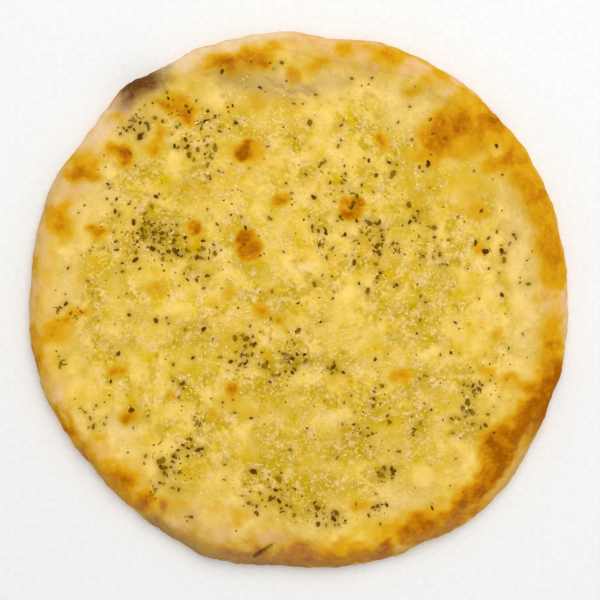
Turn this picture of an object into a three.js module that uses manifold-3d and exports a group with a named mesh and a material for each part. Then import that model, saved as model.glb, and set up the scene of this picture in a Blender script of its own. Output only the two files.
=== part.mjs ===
// A round parmesan focaccia: leavened bread with a puffed, uneven rim, and over it a skin of melted
// cheese that is strewn with dried oregano.
// Millimetres, +Z up. The origin is under the middle of the flat base, and +Y is the far side.
import * as THREE from "three";
import { mergeVertices } from "three/addons/utils/BufferGeometryUtils.js";
import Module from "manifold-3d";

const wasm = await Module();
wasm.setup();

// Driving dimensions. An inset is measured inwards from the outline.
const LOAF_RADIUS = 150;
const FLOOR_THICKNESS = 7;
const RIM_HEIGHT = 13.5;
const RIM_WIDTH = 27;
const CROWN_INSET = 9.5;
const WIDEST_HEIGHT = 4.6;
const FOOT_INSET = 4;
const CHEESE_INSET = 11.5;
const CHEESE_THICKNESS = 1.7;
const CHEESE_EDGE = 0.7;
const CHEESE_GAP = 0.3;

// Where the outline bulges or draws in: heading in degrees anticlockwise from +X, spread in degrees
const OUTLINE_BULGES = [
  { at: 312, spread: 17, push: 4.5 },
  { at: 128, spread: 4.5, push: 3.6 },
  { at: 45, spread: 20, push: 0.8 },
  { at: 157, spread: 7, push: 1.3 },
  { at: 197, spread: 7, push: 1 },
  { at: 250, spread: 5, push: 1.3 },
  { at: 84, spread: 7, push: -3.4 },
  { at: 222, spread: 14, push: -2.8 },
  { at: 268, spread: 11, push: -1.8 },
  { at: 5, spread: 8, push: -1.4 },
];

// Where the rim slumps outwards, so that its crown stands further in and its shoulder shows from above
const RIM_SLUMPS = [
  { at: 314, spread: 22, push: 4 },
  { at: 262, spread: 24, push: 2.5 },
];

// Gas bubbles that lift the rim: inset of the middle, half lengths along and across, and rise
const RIM_BUBBLES = [
  { at: 127, middle: 7.5, along: 10, across: 6, rise: 5.5 },
  { at: 148, middle: 13, along: 9, across: 8, rise: 2.6 },
  { at: 161, middle: 11, along: 7, across: 7, rise: 2 },
  { at: 105, middle: 15, along: 13, across: 7, rise: 2.4 },
  { at: 73, middle: 12, along: 15, across: 7, rise: 1.8 },
  { at: 44, middle: 20, along: 14, across: 13, rise: 2.8 },
  { at: 14, middle: 11, along: 18, across: 7, rise: 1.6 },
  { at: 340, middle: 12, along: 11, across: 6, rise: 1.8 },
  { at: 325, middle: 15, along: 14, across: 9, rise: 2.9 },
  { at: 226, middle: 17, along: 12, across: 8, rise: 2.2 },
  { at: 211, middle: 9, along: 10, across: 5, rise: 1.7 },
  { at: 187, middle: 10, along: 8, across: 6, rise: 1.5 },
  { at: 280, middle: 13, along: 16, across: 7, rise: 1.4 },
];
const BUBBLE_FADE = 5;

// Toasted blisters in the cheese: place, width and rise
const CHEESE_BLISTERS = [
  { x: -28.6, y: 30.2, across: 16, rise: 1.3 },
  { x: 29.7, y: 50.8, across: 15, rise: 1.3 },
  { x: -57.4, y: 39.1, across: 10, rise: 0.9 },
  { x: -28.6, y: 81.9, across: 12, rise: 1 },
  { x: -9.2, y: 55.2, across: 9, rise: 0.8 },
  { x: -36.4, y: -49.1, across: 9, rise: 0.9 },
  { x: -100.2, y: -39.1, across: 10, rise: 0.8 },
  { x: -92.4, y: -63, across: 11, rise: 0.9 },
  { x: -98.5, y: 81.3, across: 13, rise: 1 },
  { x: -80, y: 83, across: 8, rise: 0.7 },
  { x: 45.8, y: 88.5, across: 8, rise: 0.7 },
  { x: 56.3, y: -43, across: 12, rise: 0.8 },
  { x: -20.3, y: -6.9, across: 8, rise: 0.7 },
  { x: -112.4, y: 37.5, across: 9, rise: 0.8 },
];

// Slow unevenness of the crumb and of the cheese on it: plane waves, their pitch and its spread
const CRUMB_SWELL = { seed: 11, waves: 9, pitch: 55, spread: 0.4, height: 0.9 };
const CHEESE_SWELL = { seed: 23, waves: 12, pitch: 21, spread: 0.4, height: 0.45 };

// Unevenness round the loaf, from the fewest lobes to the most: the outline, the crown, and the
// shore where the cheese ends
const OUTLINE_RIPPLE = { seed: 3, fewest: 11, most: 34, height: 0.45 };
const CROWN_RIPPLE = { seed: 5, fewest: 3, most: 15, height: 1.3 };
const SHORE_RIPPLE = { seed: 29, fewest: 4, most: 26, height: 2.6 };

// Dried oregano: where the pinches fell, how far each spread, and how many large flakes it has
const PINCHES = [
  { x: -80, y: 35, spread: 26, flakes: 12 },
  { x: -92, y: 94, spread: 13, flakes: 6 },
  { x: -56, y: 94, spread: 24, flakes: 10 },
  { x: -55, y: 20, spread: 16, flakes: 6 },
  { x: 23, y: 61, spread: 21, flakes: 6 },
  { x: 42, y: 31, spread: 36, flakes: 12 },
  { x: -30, y: -31, spread: 14, flakes: 5 },
  { x: -5, y: -34, spread: 14, flakes: 5 },
  { x: -70, y: -87, spread: 16, flakes: 6 },
  { x: -72, y: -98, spread: 12, flakes: 4 },
  { x: -13, y: -106, spread: 21, flakes: 7 },
  { x: 17, y: -118, spread: 14, flakes: 5 },
  { x: 49, y: -96, spread: 8, flakes: 4 },
  { x: 93, y: -60, spread: 19, flakes: 7 },
  { x: 62, y: 77, spread: 17, flakes: 3 },
  { x: 112, y: 29, spread: 10, flakes: 3 },
];
const STRAY_FLAKES = 20;
const FLAKE_REACH = 0.9;
const FLAKE_SEED = 71;
const FLAKE_LENGTHS = [1.9, 4];
const FLAKE_SLIMNESS = [0.45, 0.72];
const FLAKE_HEIGHT = 1;
const FLAKE_SUNK = 0.13;

// How finely the faces are split
const TOP_SPACING = 5.6;
const HIDDEN_SPACING = 11;
const STEPS_A_RING = 6;
const SLOPE_RINGS = 4;
const RIM_STEPS = 120;
const SHOULDER_SHARES = [0.62, 0.35, 0.14, 0.035, 0];
const FOOT_DEGREES = [45, 90];
const FLAKE_SIDES = 6;
const FLAKE_BANDS = 3;

const BREAD_FINISH = { color: 0xe6b877, roughness: 0.85, metalness: 0 };
const CHEESE_FINISH = { color: 0xe9cb68, roughness: 0.5, metalness: 0 };

// The step rule of the repeatable draws
const DRAW_FACTOR = 1664525;
const DRAW_STEP = 1013904223;
const DRAW_RANGE = 2 ** 32;

const TURN = 2 * Math.PI;
const { degToRad, radToDeg, lerp, smoothstep, euclideanModulo } = THREE.MathUtils;

// A repeatable source of numbers from 0 to 1.
function makeDraw(seed) {
  let state = seed;
  return () => {
    state = (Math.imul(state, DRAW_FACTOR) + DRAW_STEP) >>> 0;
    return state / DRAW_RANGE;
  };
}

// Unevenness over the plan: plane waves of like pitch, running every way.
function makeSwell({ seed, waves, pitch, spread, height }) {
  const draw = makeDraw(seed);
  const set = Array.from({ length: waves }, () => {
    const heading = TURN * draw();
    const turns = TURN / (pitch * lerp(1 - spread, 1 + spread, draw()));
    return { alongX: turns * Math.cos(heading), alongY: turns * Math.sin(heading), phase: TURN * draw() };
  });
  const share = height / Math.sqrt(waves);
  return (x, y) => {
    const lift = (sum, wave) => sum + Math.cos(wave.alongX * x + wave.alongY * y + wave.phase);
    return share * set.reduce(lift, 0);
  };
}

// Unevenness round the loaf: waves of whole numbers of lobes, the slow ones larger.
function makeRipple({ seed, fewest, most, height }) {
  const draw = makeDraw(seed);
  const set = [];
  for (let lobes = fewest; lobes <= most; lobes += 1) {
    set.push({ lobes, phase: TURN * draw(), share: Math.sqrt(fewest / lobes) });
  }
  const scale = height / Math.hypot(...set.map((wave) => wave.share));
  return (angle) => {
    const lift = (sum, wave) => sum + wave.share * Math.cos(wave.lobes * angle + wave.phase);
    return scale * set.reduce(lift, 0);
  };
}

const crumbSwell = makeSwell(CRUMB_SWELL);
const cheeseSwell = makeSwell(CHEESE_SWELL);
const outlineRipple = makeRipple(OUTLINE_RIPPLE);
const crownRipple = makeRipple(CROWN_RIPPLE);
const shoreRipple = makeRipple(SHORE_RIPPLE);

const bell = (offset) => Math.exp(-offset * offset);
const ease = (share) => smoothstep(share, 0, 1);

// The turn from one heading to another, the short way round, in degrees.
function headingGap(angle, at) {
  return euclideanModulo(radToDeg(angle) - at + 180, 360) - 180;
}

// The sum of the pushes that reach this angle.
function pushed(list, angle) {
  return list.reduce((sum, { at, spread, push }) => sum + push * bell(headingGap(angle, at) / spread), 0);
}

const outlineRadius = (angle) => LOAF_RADIUS + pushed(OUTLINE_BULGES, angle) + outlineRipple(angle);
const crownInset = (angle) => CROWN_INSET + pushed(RIM_SLUMPS, angle);
const shoreInset = (angle) => CHEESE_INSET + shoreRipple(angle);
const shoreRadius = (angle) => outlineRadius(angle) - shoreInset(angle);

// The middle of the outline's box, which the origin is set under.
function outlineMiddle() {
  const box = new THREE.Box2();
  for (let step = 0; step < RIM_STEPS; step += 1) {
    const angle = (TURN * step) / RIM_STEPS;
    const point = new THREE.Vector2(Math.cos(angle), Math.sin(angle));
    box.expandByPoint(point.multiplyScalar(outlineRadius(angle)));
  }
  return box.getCenter(new THREE.Vector2());
}

const MIDDLE = outlineMiddle();

function pointAt(angle, radius, height) {
  return new THREE.Vector3(
    radius * Math.cos(angle) - MIDDLE.x,
    radius * Math.sin(angle) - MIDDLE.y,
    height,
  );
}

// How much the rim's bubbles lift the bread. They fade out towards the outline.
function bubbleLift(angle, inset) {
  const lift = (sum, { at, middle, along, across, rise }) => {
    const run = degToRad(headingGap(angle, at)) * (LOAF_RADIUS - middle);
    return sum + rise * bell(run / along) * bell((inset - middle) / across);
  };
  return RIM_BUBBLES.reduce(lift, 0) * ease(inset / BUBBLE_FADE);
}

// The bread's upper face without bubbles: a floor, a slope up to the rim's crown, and a round shoulder.
function rimProfile(angle, inset) {
  const crown = crownInset(angle);
  const crownHeight = RIM_HEIGHT + crownRipple(angle);
  if (inset < crown) {
    const reach = 1 - inset / crown;
    return WIDEST_HEIGHT + (crownHeight - WIDEST_HEIGHT) * Math.sqrt(1 - reach * reach);
  }
  const slope = ease((RIM_WIDTH - inset) / (RIM_WIDTH - crown));
  return FLOOR_THICKNESS + (crownHeight - FLOOR_THICKNESS) * slope;
}

// The height of the bread's upper face.
function breadHeight(angle, radius) {
  const inset = Math.max(0, outlineRadius(angle) - radius);
  const swell = crumbSwell(radius * Math.cos(angle), radius * Math.sin(angle));
  return rimProfile(angle, inset) + swell * ease(inset / crownInset(angle)) + bubbleLift(angle, inset);
}

// The thickness of the cheese: thin at its shore, swollen and blistered inside.
function cheeseThickness(angle, radius) {
  const x = radius * Math.cos(angle);
  const y = radius * Math.sin(angle);
  const blisters = CHEESE_BLISTERS.reduce((sum, blister) => {
    const off = Math.hypot(x - MIDDLE.x - blister.x, y - MIDDLE.y - blister.y);
    return sum + blister.rise * bell((2 * off) / blister.across);
  }, 0);
  const inland = ease((shoreRadius(angle) - radius) / (2 * CHEESE_INSET));
  return CHEESE_EDGE + inland * (CHEESE_THICKNESS - CHEESE_EDGE + cheeseSwell(x, y) + blisters);
}

const cheeseBelow = (angle, radius) => breadHeight(angle, radius) + CHEESE_GAP;
const cheeseAbove = (angle, radius) => cheeseBelow(angle, radius) + cheeseThickness(angle, radius);

// A closed ring of points, anticlockwise, at the place that a function gives for each angle.
function ring(steps, place) {
  return Array.from({ length: steps }, (_, step) => place((TURN * step) / steps));
}

// Rings from the middle out to the cheese's shore: on the floor as far apart as the points along
// them, and closer together on the slope up to the rim.
function shoreRings(spacing, height) {
  const floorShare = (LOAF_RADIUS - RIM_WIDTH) / (LOAF_RADIUS - CHEESE_INSET);
  const floorRings = Math.round((LOAF_RADIUS - RIM_WIDTH) / spacing);
  const rings = [[pointAt(0, 0, height(0, 0))]];
  const add = (share, steps) => {
    const place = (angle) => {
      const radius = share * shoreRadius(angle);
      return pointAt(angle, radius, height(angle, radius));
    };
    rings.push(ring(steps, place));
  };
  for (let index = 1; index <= floorRings; index += 1) {
    add((floorShare * index) / floorRings, STEPS_A_RING * index);
  }
  for (let index = 1; index <= SLOPE_RINGS; index += 1) {
    add(lerp(floorShare, 1, index / SLOPE_RINGS), RIM_STEPS);
  }
  return rings;
}

// Triangles from one ring to the next, worked out from the narrower ring, so that they are the same
// ones whichever of the two comes first. A ring holds its points and the index of the first of them.
function zip(first, second) {
  const width = ({ points }) => Math.hypot(points[0].x + MIDDLE.x, points[0].y + MIDDLE.y);
  const swapped = width(first) > width(second);
  const [narrow, wide] = swapped ? [second, first] : [first, second];
  const narrowAt = (index) => narrow.start + (index % narrow.points.length);
  const wideAt = (index) => wide.start + (index % wide.points.length);
  const narrowSteps = narrow.points.length === 1 ? 0 : narrow.points.length;
  const wideSteps = wide.points.length;
  const triangles = [];
  const add = (a, b, c) => triangles.push(...(swapped ? [a, c, b] : [a, b, c]));
  let near = 0;
  for (let far = 0; far < wideSteps; far += 1) {
    add(narrowAt(near), wideAt(far), wideAt(far + 1));
    while ((near + 1) * wideSteps <= (far + 1) * narrowSteps) {
      add(narrowAt(near), wideAt(far + 1), narrowAt(near + 1));
      near += 1;
    }
  }
  return triangles;
}

// A closed skin over rings that run from one end point to the other.
function skin(rings) {
  let start = 0;
  const numbered = rings.map((points) => {
    const numberedRing = { points, start };
    start += points.length;
    return numberedRing;
  });
  const triangles = numbered.slice(1).flatMap((next, index) => zip(numbered[index], next));
  const geometry = new THREE.BufferGeometry().setFromPoints(rings.flat());
  geometry.setIndex(triangles);
  return geometry;
}

// The bread: floor under the cheese, crown and shoulder of the rim, foot and flat base.
function breadGeometry() {
  const rings = shoreRings(HIDDEN_SPACING, breadHeight);
  for (const share of SHOULDER_SHARES) {
    const place = (angle) => {
      const radius = outlineRadius(angle) - share * shoreInset(angle);
      return pointAt(angle, radius, breadHeight(angle, radius));
    };
    rings.push(ring(RIM_STEPS, place));
  }
  for (const degrees of FOOT_DEGREES) {
    const inset = FOOT_INSET * (1 - Math.cos(degToRad(degrees)));
    const height = WIDEST_HEIGHT * (1 - Math.sin(degToRad(degrees)));
    rings.push(ring(RIM_STEPS, (angle) => pointAt(angle, outlineRadius(angle) - inset, height)));
  }
  rings.push([pointAt(0, 0, 0)]);
  return skin(rings);
}

// The bare cheese: its blistered upper face, and below it a face that follows the bread.
function cheeseGeometry() {
  const above = shoreRings(TOP_SPACING, cheeseAbove);
  const below = shoreRings(HIDDEN_SPACING, cheeseBelow);
  return skin([...above, ...below.reverse()]);
}

// Places and sizes of the large oregano flakes: pinch by pinch, then strays over the whole cheese.
// A flake that would fall too near the shore is drawn in to the flakes' reach.
function flakePlaces() {
  const draw = makeDraw(FLAKE_SEED);
  const spot = () => draw() + draw() - 1;
  const places = [];
  const add = (angle, radius) => {
    const length = lerp(...FLAKE_LENGTHS, draw());
    const width = length * lerp(...FLAKE_SLIMNESS, draw());
    const inland = Math.min(radius, FLAKE_REACH * shoreRadius(angle));
    places.push({ angle, radius: inland, length, width, turn: TURN * draw() });
  };
  for (const pinch of PINCHES) {
    for (let count = 0; count < pinch.flakes; count += 1) {
      const x = pinch.x + pinch.spread * spot() + MIDDLE.x;
      const y = pinch.y + pinch.spread * spot() + MIDDLE.y;
      add(Math.atan2(y, x), Math.hypot(x, y));
    }
  }
  for (let count = 0; count < STRAY_FLAKES; count += 1) {
    const angle = TURN * draw();
    add(angle, FLAKE_REACH * shoreRadius(angle) * Math.sqrt(draw()));
  }
  return places;
}

// One flake: a slim lump with pointed ends, laid on the cheese and part sunk in it.
function flakeGeometry({ angle, radius, length, width, turn }) {
  const geometry = new THREE.SphereGeometry(1, FLAKE_SIDES, FLAKE_BANDS);
  geometry.rotateZ(TURN / 4);
  geometry.scale(length / 2, width / 2, FLAKE_HEIGHT / 2);
  geometry.rotateZ(turn);
  const place = pointAt(angle, radius, cheeseAbove(angle, radius) - FLAKE_SUNK);
  geometry.translate(...place.toArray());
  return geometry;
}

// A closed geometry as a solid that can be joined to others.
function solidOf(geometry) {
  const bare = geometry.clone();
  bare.deleteAttribute("normal");
  bare.deleteAttribute("uv");
  const merged = mergeVertices(bare);
  return new wasm.Manifold(
    new wasm.Mesh({
      numProp: 3,
      vertProperties: merged.attributes.position.array,
      triVerts: new Uint32Array(merged.index.array),
    }),
  );
}

// The geometry of a joined solid.
function geometryOf(solid) {
  const mesh = solid.getMesh();
  const geometry = new THREE.BufferGeometry();
  geometry.setAttribute("position", new THREE.BufferAttribute(mesh.vertProperties, 3));
  geometry.setIndex(new THREE.BufferAttribute(mesh.triVerts, 1));
  return geometry;
}

// The cheese with its flakes fused on.
function strewnCheeseGeometry() {
  const flakes = flakePlaces().map((place) => solidOf(flakeGeometry(place)));
  return geometryOf(wasm.Manifold.union([solidOf(cheeseGeometry()), ...flakes]));
}

// A named mesh with its finish.
function piece(name, geometry, finish) {
  geometry.computeVertexNormals();
  const mesh = new THREE.Mesh(geometry, new THREE.MeshStandardMaterial(finish));
  mesh.name = name;
  return mesh;
}

const focaccia = new THREE.Group();
focaccia.add(piece("bread", breadGeometry(), BREAD_FINISH));
focaccia.add(piece("melted_cheese", strewnCheeseGeometry(), CHEESE_FINISH));

export default focaccia;
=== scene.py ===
"""A round parmesan focaccia, dressed for the studio: bread, melted cheese, shreds of cheese and oregano."""

import logging
import math
from collections.abc import Callable
from dataclasses import dataclass, replace
from enum import Enum
from functools import cached_property
from itertools import product
from typing import Any

import bpy
import numpy as np
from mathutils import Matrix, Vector


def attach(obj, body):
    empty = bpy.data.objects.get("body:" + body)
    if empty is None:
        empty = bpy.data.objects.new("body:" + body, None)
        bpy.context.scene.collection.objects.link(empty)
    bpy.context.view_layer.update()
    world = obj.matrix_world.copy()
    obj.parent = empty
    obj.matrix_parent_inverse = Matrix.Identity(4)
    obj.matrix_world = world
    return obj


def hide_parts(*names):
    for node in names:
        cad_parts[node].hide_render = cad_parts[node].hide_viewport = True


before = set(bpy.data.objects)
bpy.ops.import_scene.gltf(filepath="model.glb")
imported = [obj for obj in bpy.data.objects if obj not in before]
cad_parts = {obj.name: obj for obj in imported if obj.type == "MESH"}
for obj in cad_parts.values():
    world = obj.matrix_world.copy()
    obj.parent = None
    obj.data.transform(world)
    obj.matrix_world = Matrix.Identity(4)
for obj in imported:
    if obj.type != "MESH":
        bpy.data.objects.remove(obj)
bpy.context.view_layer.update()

LOG = logging.getLogger("focaccia")
BODY = "root"
MM = 0.001
NO_LENGTH = 1e-12
TURN = 2 * math.pi
Array = np.ndarray
Colour = tuple[float, float, float, float]
Place = tuple[float, float, float]
Span = tuple[float, float]
Socket = bpy.types.NodeSocket
Tree = bpy.types.NodeTree
Coat = tuple[Any, Any]


class Slot(Enum):
    """The record's material slots."""

    DOUGH = "baked_dough"
    CHEESE = "melted_cheese"


class Mark(Enum):
    """What the oven and the cook left, and where shade is painted, kept on each point of a mesh for its
    finish to read.
    """

    COVER = "cheese_cover"
    TOAST = "toast"
    # Burnt crust, and painted shade in the slit where the dough tore
    CHAR_AND_SLIT_SHADE = "char"
    OIL = "oil"
    CREAM = "cream"
    GRAINY = "grainy"
    STAIN = "herb_stain"
    FLOUR = "flour"
    # Painted shade: grey on the rim's side away from the light and in the folds
    RAW = "raw_dough"
    TINT = "tint"


class Kind(Enum):
    """Blender's names of the nodes that the finishes use."""

    ATTRIBUTE = "ShaderNodeAttribute"
    PLACE = "ShaderNodeTexCoord"
    NOISE = "ShaderNodeTexNoise"
    RANGE = "ShaderNodeMapRange"
    MIX = "ShaderNodeMix"
    MATH = "ShaderNodeMath"
    SHADE = "ShaderNodeHueSaturation"
    BUMP = "ShaderNodeBump"
    SURFACE = "ShaderNodeBsdfPrincipled"
    OUTPUT = "ShaderNodeOutputMaterial"


# Plain sums that the laws of the form share


def bell(offset: Array) -> Array:
    """A smooth hump, 1 at no offset."""
    return np.exp(-offset * offset)


def ease(share: Array) -> Array:
    """A smooth step from 0 to 1."""
    part = np.clip(share, 0, 1)
    return part * part * (3 - 2 * part)


def heading_gap(angle: Array, at: float) -> Array:
    """The turn from a heading to each angle, the short way round, in degrees."""
    return np.mod(np.degrees(angle) - at + 180, 360) - 180


class Draw:
    """A repeatable source of numbers from 0 to 1, the one that places the large flakes in the solid."""

    FACTOR = 1664525
    STEP = 1013904223
    RANGE = 2**32

    def __init__(self, seed: int) -> None:
        """Starts the row of numbers at its seed."""
        self.state = seed

    def next(self) -> float:
        """The next number."""
        self.state = (self.state * self.FACTOR + self.STEP) % self.RANGE
        return self.state / self.RANGE

    def between(self, low: float, high: float) -> float:
        """The next number, spread from low to high."""
        return low + (high - low) * self.next()

    def offset(self) -> float:
        """A number from -1 to 1 that is oftener near 0."""
        return self.next() + self.next() - 1

    def spread(self, shape: tuple[int, ...]) -> Array:
        """Numbers from -1 to 1 in an array."""
        return np.array([2 * self.next() - 1 for _ in range(math.prod(shape))]).reshape(shape)


class Noise:
    """Seeded unevenness at a pitch in millimetres."""

    PRIMES = np.array((73856093, 19349663, 83492791), dtype=np.int64)
    SEEDER = 9176741
    MIXER = 2654435761
    SHIFTS = (13, 15)
    LAST_SHIFT = 16
    BITS = 2**32
    AXIS_STEP = 31
    SWING = 2.4

    @classmethod
    def hashed(cls, cells: Array, seed: int) -> Array:
        """A number from 0 to 1 for each whole-number cell.

        Args:
            cells: Whole numbers, one row for each cell.
            seed: Which set of numbers to use.

        Returns:
            One number for each row.
        """
        mixed = (cells * cls.PRIMES[: cells.shape[1]]).sum(axis=1) + seed * cls.SEEDER
        for shift in cls.SHIFTS:
            mixed = (mixed ^ (mixed >> shift)) * cls.MIXER % cls.BITS
        return (mixed ^ (mixed >> cls.LAST_SHIFT)) % cls.BITS / cls.BITS

    @classmethod
    def smooth(cls, points: Array, pitch: float, seed: int) -> Array:
        """Smooth unevenness from about -1 to 1.

        Args:
            points: Points in mm, one row each, in two or three dimensions.
            pitch: The spacing of the swings in mm.
            seed: Which set of swings to use.

        Returns:
            One number for each point.
        """
        spot = points / pitch
        cos, sin = math.cos(seed), math.sin(seed)
        spot[:, :2] = spot[:, :2] @ np.array([[cos, sin], [-sin, cos]])
        base = np.floor(spot).astype(np.int64)
        part = spot - base
        fade = part**3 * (part * (part * 6 - 15) + 10)
        total = np.zeros(len(points))
        for corner in product((0, 1), repeat=points.shape[1]):
            cell = base + np.array(corner)
            weight = np.prod(np.where(corner, fade, 1 - fade), axis=1)
            for axis, step in enumerate(corner):
                slope = 2 * cls.hashed(cell, seed + cls.AXIS_STEP * axis) - 1
                total += weight * slope * (part[:, axis] - step)
        return cls.SWING * total

    @classmethod
    def crumbs(cls, plan: Array, pitch: float, seed: int) -> tuple[Array, Array]:
        """Round grains that crowd a plane.

        Args:
            plan: Points in mm, one row each, in two dimensions.
            pitch: The grains' spacing in mm.
            seed: Which set of grains to use.

        Returns:
            How far each point is from its grain's middle, in pitches, and a number for that grain.
        """
        spot = plan / pitch
        base = np.floor(spot).astype(np.int64)
        nearest = np.full(len(plan), np.inf)
        kind = np.zeros(len(plan))
        for step in product((-1, 0, 1), repeat=2):
            cell = base + np.array(step)
            jitter = np.stack([cls.hashed(cell, seed), cls.hashed(cell, seed + 1)], axis=1)
            off = np.hypot(*(cell + jitter - spot).T)
            kind = np.where(off < nearest, cls.hashed(cell, seed + 2), kind)
            nearest = np.minimum(off, nearest)
        return nearest, kind


@dataclass(frozen=True)
class Mottle:
    """Unevenness with finer swings on it, each at half the spacing of the last and smaller by the fade.

    The pitch is the spacing of the broadest swings in mm, and layers says how many sizes of swing there are.
    """

    pitch: float
    seed: int
    height: float
    layers: int = 3
    fade: float = 0.5

    def at(self, points: Array) -> Array:
        """The unevenness at each point.

        Args:
            points: Points in mm, one row each, in two or three dimensions.

        Returns:
            One number for each point, from about minus the height to plus the height.
        """
        sizes = [self.fade**layer for layer in range(self.layers)]
        total = np.zeros(len(points))
        for layer, size in enumerate(sizes):
            total += size * Noise.smooth(points, self.pitch / 2**layer, self.seed + layer)
        return self.height * (total / math.hypot(*sizes))


# The loaf's form, in millimetres, by the same laws as its solids


@dataclass(frozen=True)
class Push:
    """A stretch that bulges or draws in: heading and spread in degrees, push in mm."""

    at: float
    spread: float
    push: float

    def reach(self, angle: Array) -> Array:
        """How far it pushes at each angle."""
        return self.push * bell(heading_gap(angle, self.at) / self.spread)


@dataclass(frozen=True)
class Bubble:
    """A gas bubble under the rim: heading, inset of its middle, half lengths along and across, and rise."""

    at: float
    middle: float
    along: float
    across: float
    rise: float

    def lift(self, angle: Array, inset: Array, radius: float) -> Array:
        """How far it lifts the bread at each place."""
        run = np.radians(heading_gap(angle, self.at)) * (radius - self.middle)
        return self.rise * bell(run / self.along) * bell((inset - self.middle) / self.across)


@dataclass(frozen=True)
class Blister:
    """A toasted blister in the cheese: place, width and rise."""

    x: float
    y: float
    across: float
    rise: float

    def lift(self, x: Array, y: Array) -> Array:
        """How far it lifts the cheese at each place."""
        return self.rise * bell(2 * np.hypot(x - self.x, y - self.y) / self.across)


@dataclass(frozen=True)
class Swell:
    """Unevenness over the plan: plane waves of like pitch, running every way."""

    seed: int
    waves: int
    pitch: float
    spread: float
    height: float

    def lift(self, x: Array, y: Array) -> Array:
        """How far it lifts each place.

        Args:
            x: Where the places are along X.
            y: Where they are along Y.

        Returns:
            The lift at each place.
        """
        draw = Draw(self.seed)
        total = np.zeros_like(x)
        for _ in range(self.waves):
            heading = TURN * draw.next()
            turns = TURN / (self.pitch * draw.between(1 - self.spread, 1 + self.spread))
            phase = TURN * draw.next()
            total += np.cos(turns * (math.cos(heading) * x + math.sin(heading) * y) + phase)
        return total * self.height / math.sqrt(self.waves)


@dataclass(frozen=True)
class Ripple:
    """Unevenness round the loaf: waves of whole numbers of lobes, the slow ones larger."""

    seed: int
    fewest: int
    most: int
    height: float

    def lift(self, angle: Array) -> Array:
        """How far it lifts each angle.

        Args:
            angle: Angles round the loaf in radians.

        Returns:
            The lift at each angle.
        """
        draw = Draw(self.seed)
        total = np.zeros_like(angle)
        power = 0.0
        for lobes in range(self.fewest, self.most + 1):
            phase = TURN * draw.next()
            total += math.sqrt(self.fewest / lobes) * np.cos(lobes * angle + phase)
            power += self.fewest / lobes
        return total * self.height / math.sqrt(power)


OUTLINE_BULGES = (
    Push(312, 17, 4.5), Push(128, 4.5, 3.6), Push(45, 20, 0.8), Push(157, 7, 1.3), Push(197, 7, 1),
    Push(250, 5, 1.3), Push(84, 7, -3.4), Push(222, 14, -2.8), Push(268, 11, -1.8), Push(5, 8, -1.4),
)
RIM_SLUMPS = (Push(314, 22, 4), Push(262, 24, 2.5))
RIM_BUBBLES = (
    Bubble(127, 7.5, 10, 6, 5.5), Bubble(148, 13, 9, 8, 2.6), Bubble(161, 11, 7, 7, 2),
    Bubble(105, 15, 13, 7, 2.4), Bubble(73, 12, 15, 7, 1.8), Bubble(44, 20, 14, 13, 2.8),
    Bubble(14, 11, 18, 7, 1.6), Bubble(340, 12, 11, 6, 1.8), Bubble(325, 15, 14, 9, 2.9),
    Bubble(226, 17, 12, 8, 2.2), Bubble(211, 9, 10, 5, 1.7), Bubble(187, 10, 8, 6, 1.5),
    Bubble(280, 13, 16, 7, 1.4),
)
CHEESE_BLISTERS = (
    Blister(-28.6, 30.2, 16, 1.3), Blister(29.7, 50.8, 15, 1.3), Blister(-57.4, 39.1, 10, 0.9),
    Blister(-28.6, 81.9, 12, 1), Blister(-9.2, 55.2, 9, 0.8), Blister(-36.4, -49.1, 9, 0.9),
    Blister(-100.2, -39.1, 10, 0.8), Blister(-92.4, -63, 11, 0.9), Blister(-98.5, 81.3, 13, 1),
    Blister(-80, 83, 8, 0.7), Blister(45.8, 88.5, 8, 0.7), Blister(56.3, -43, 12, 0.8),
    Blister(-20.3, -6.9, 8, 0.7), Blister(-112.4, 37.5, 9, 0.8),
)


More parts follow.
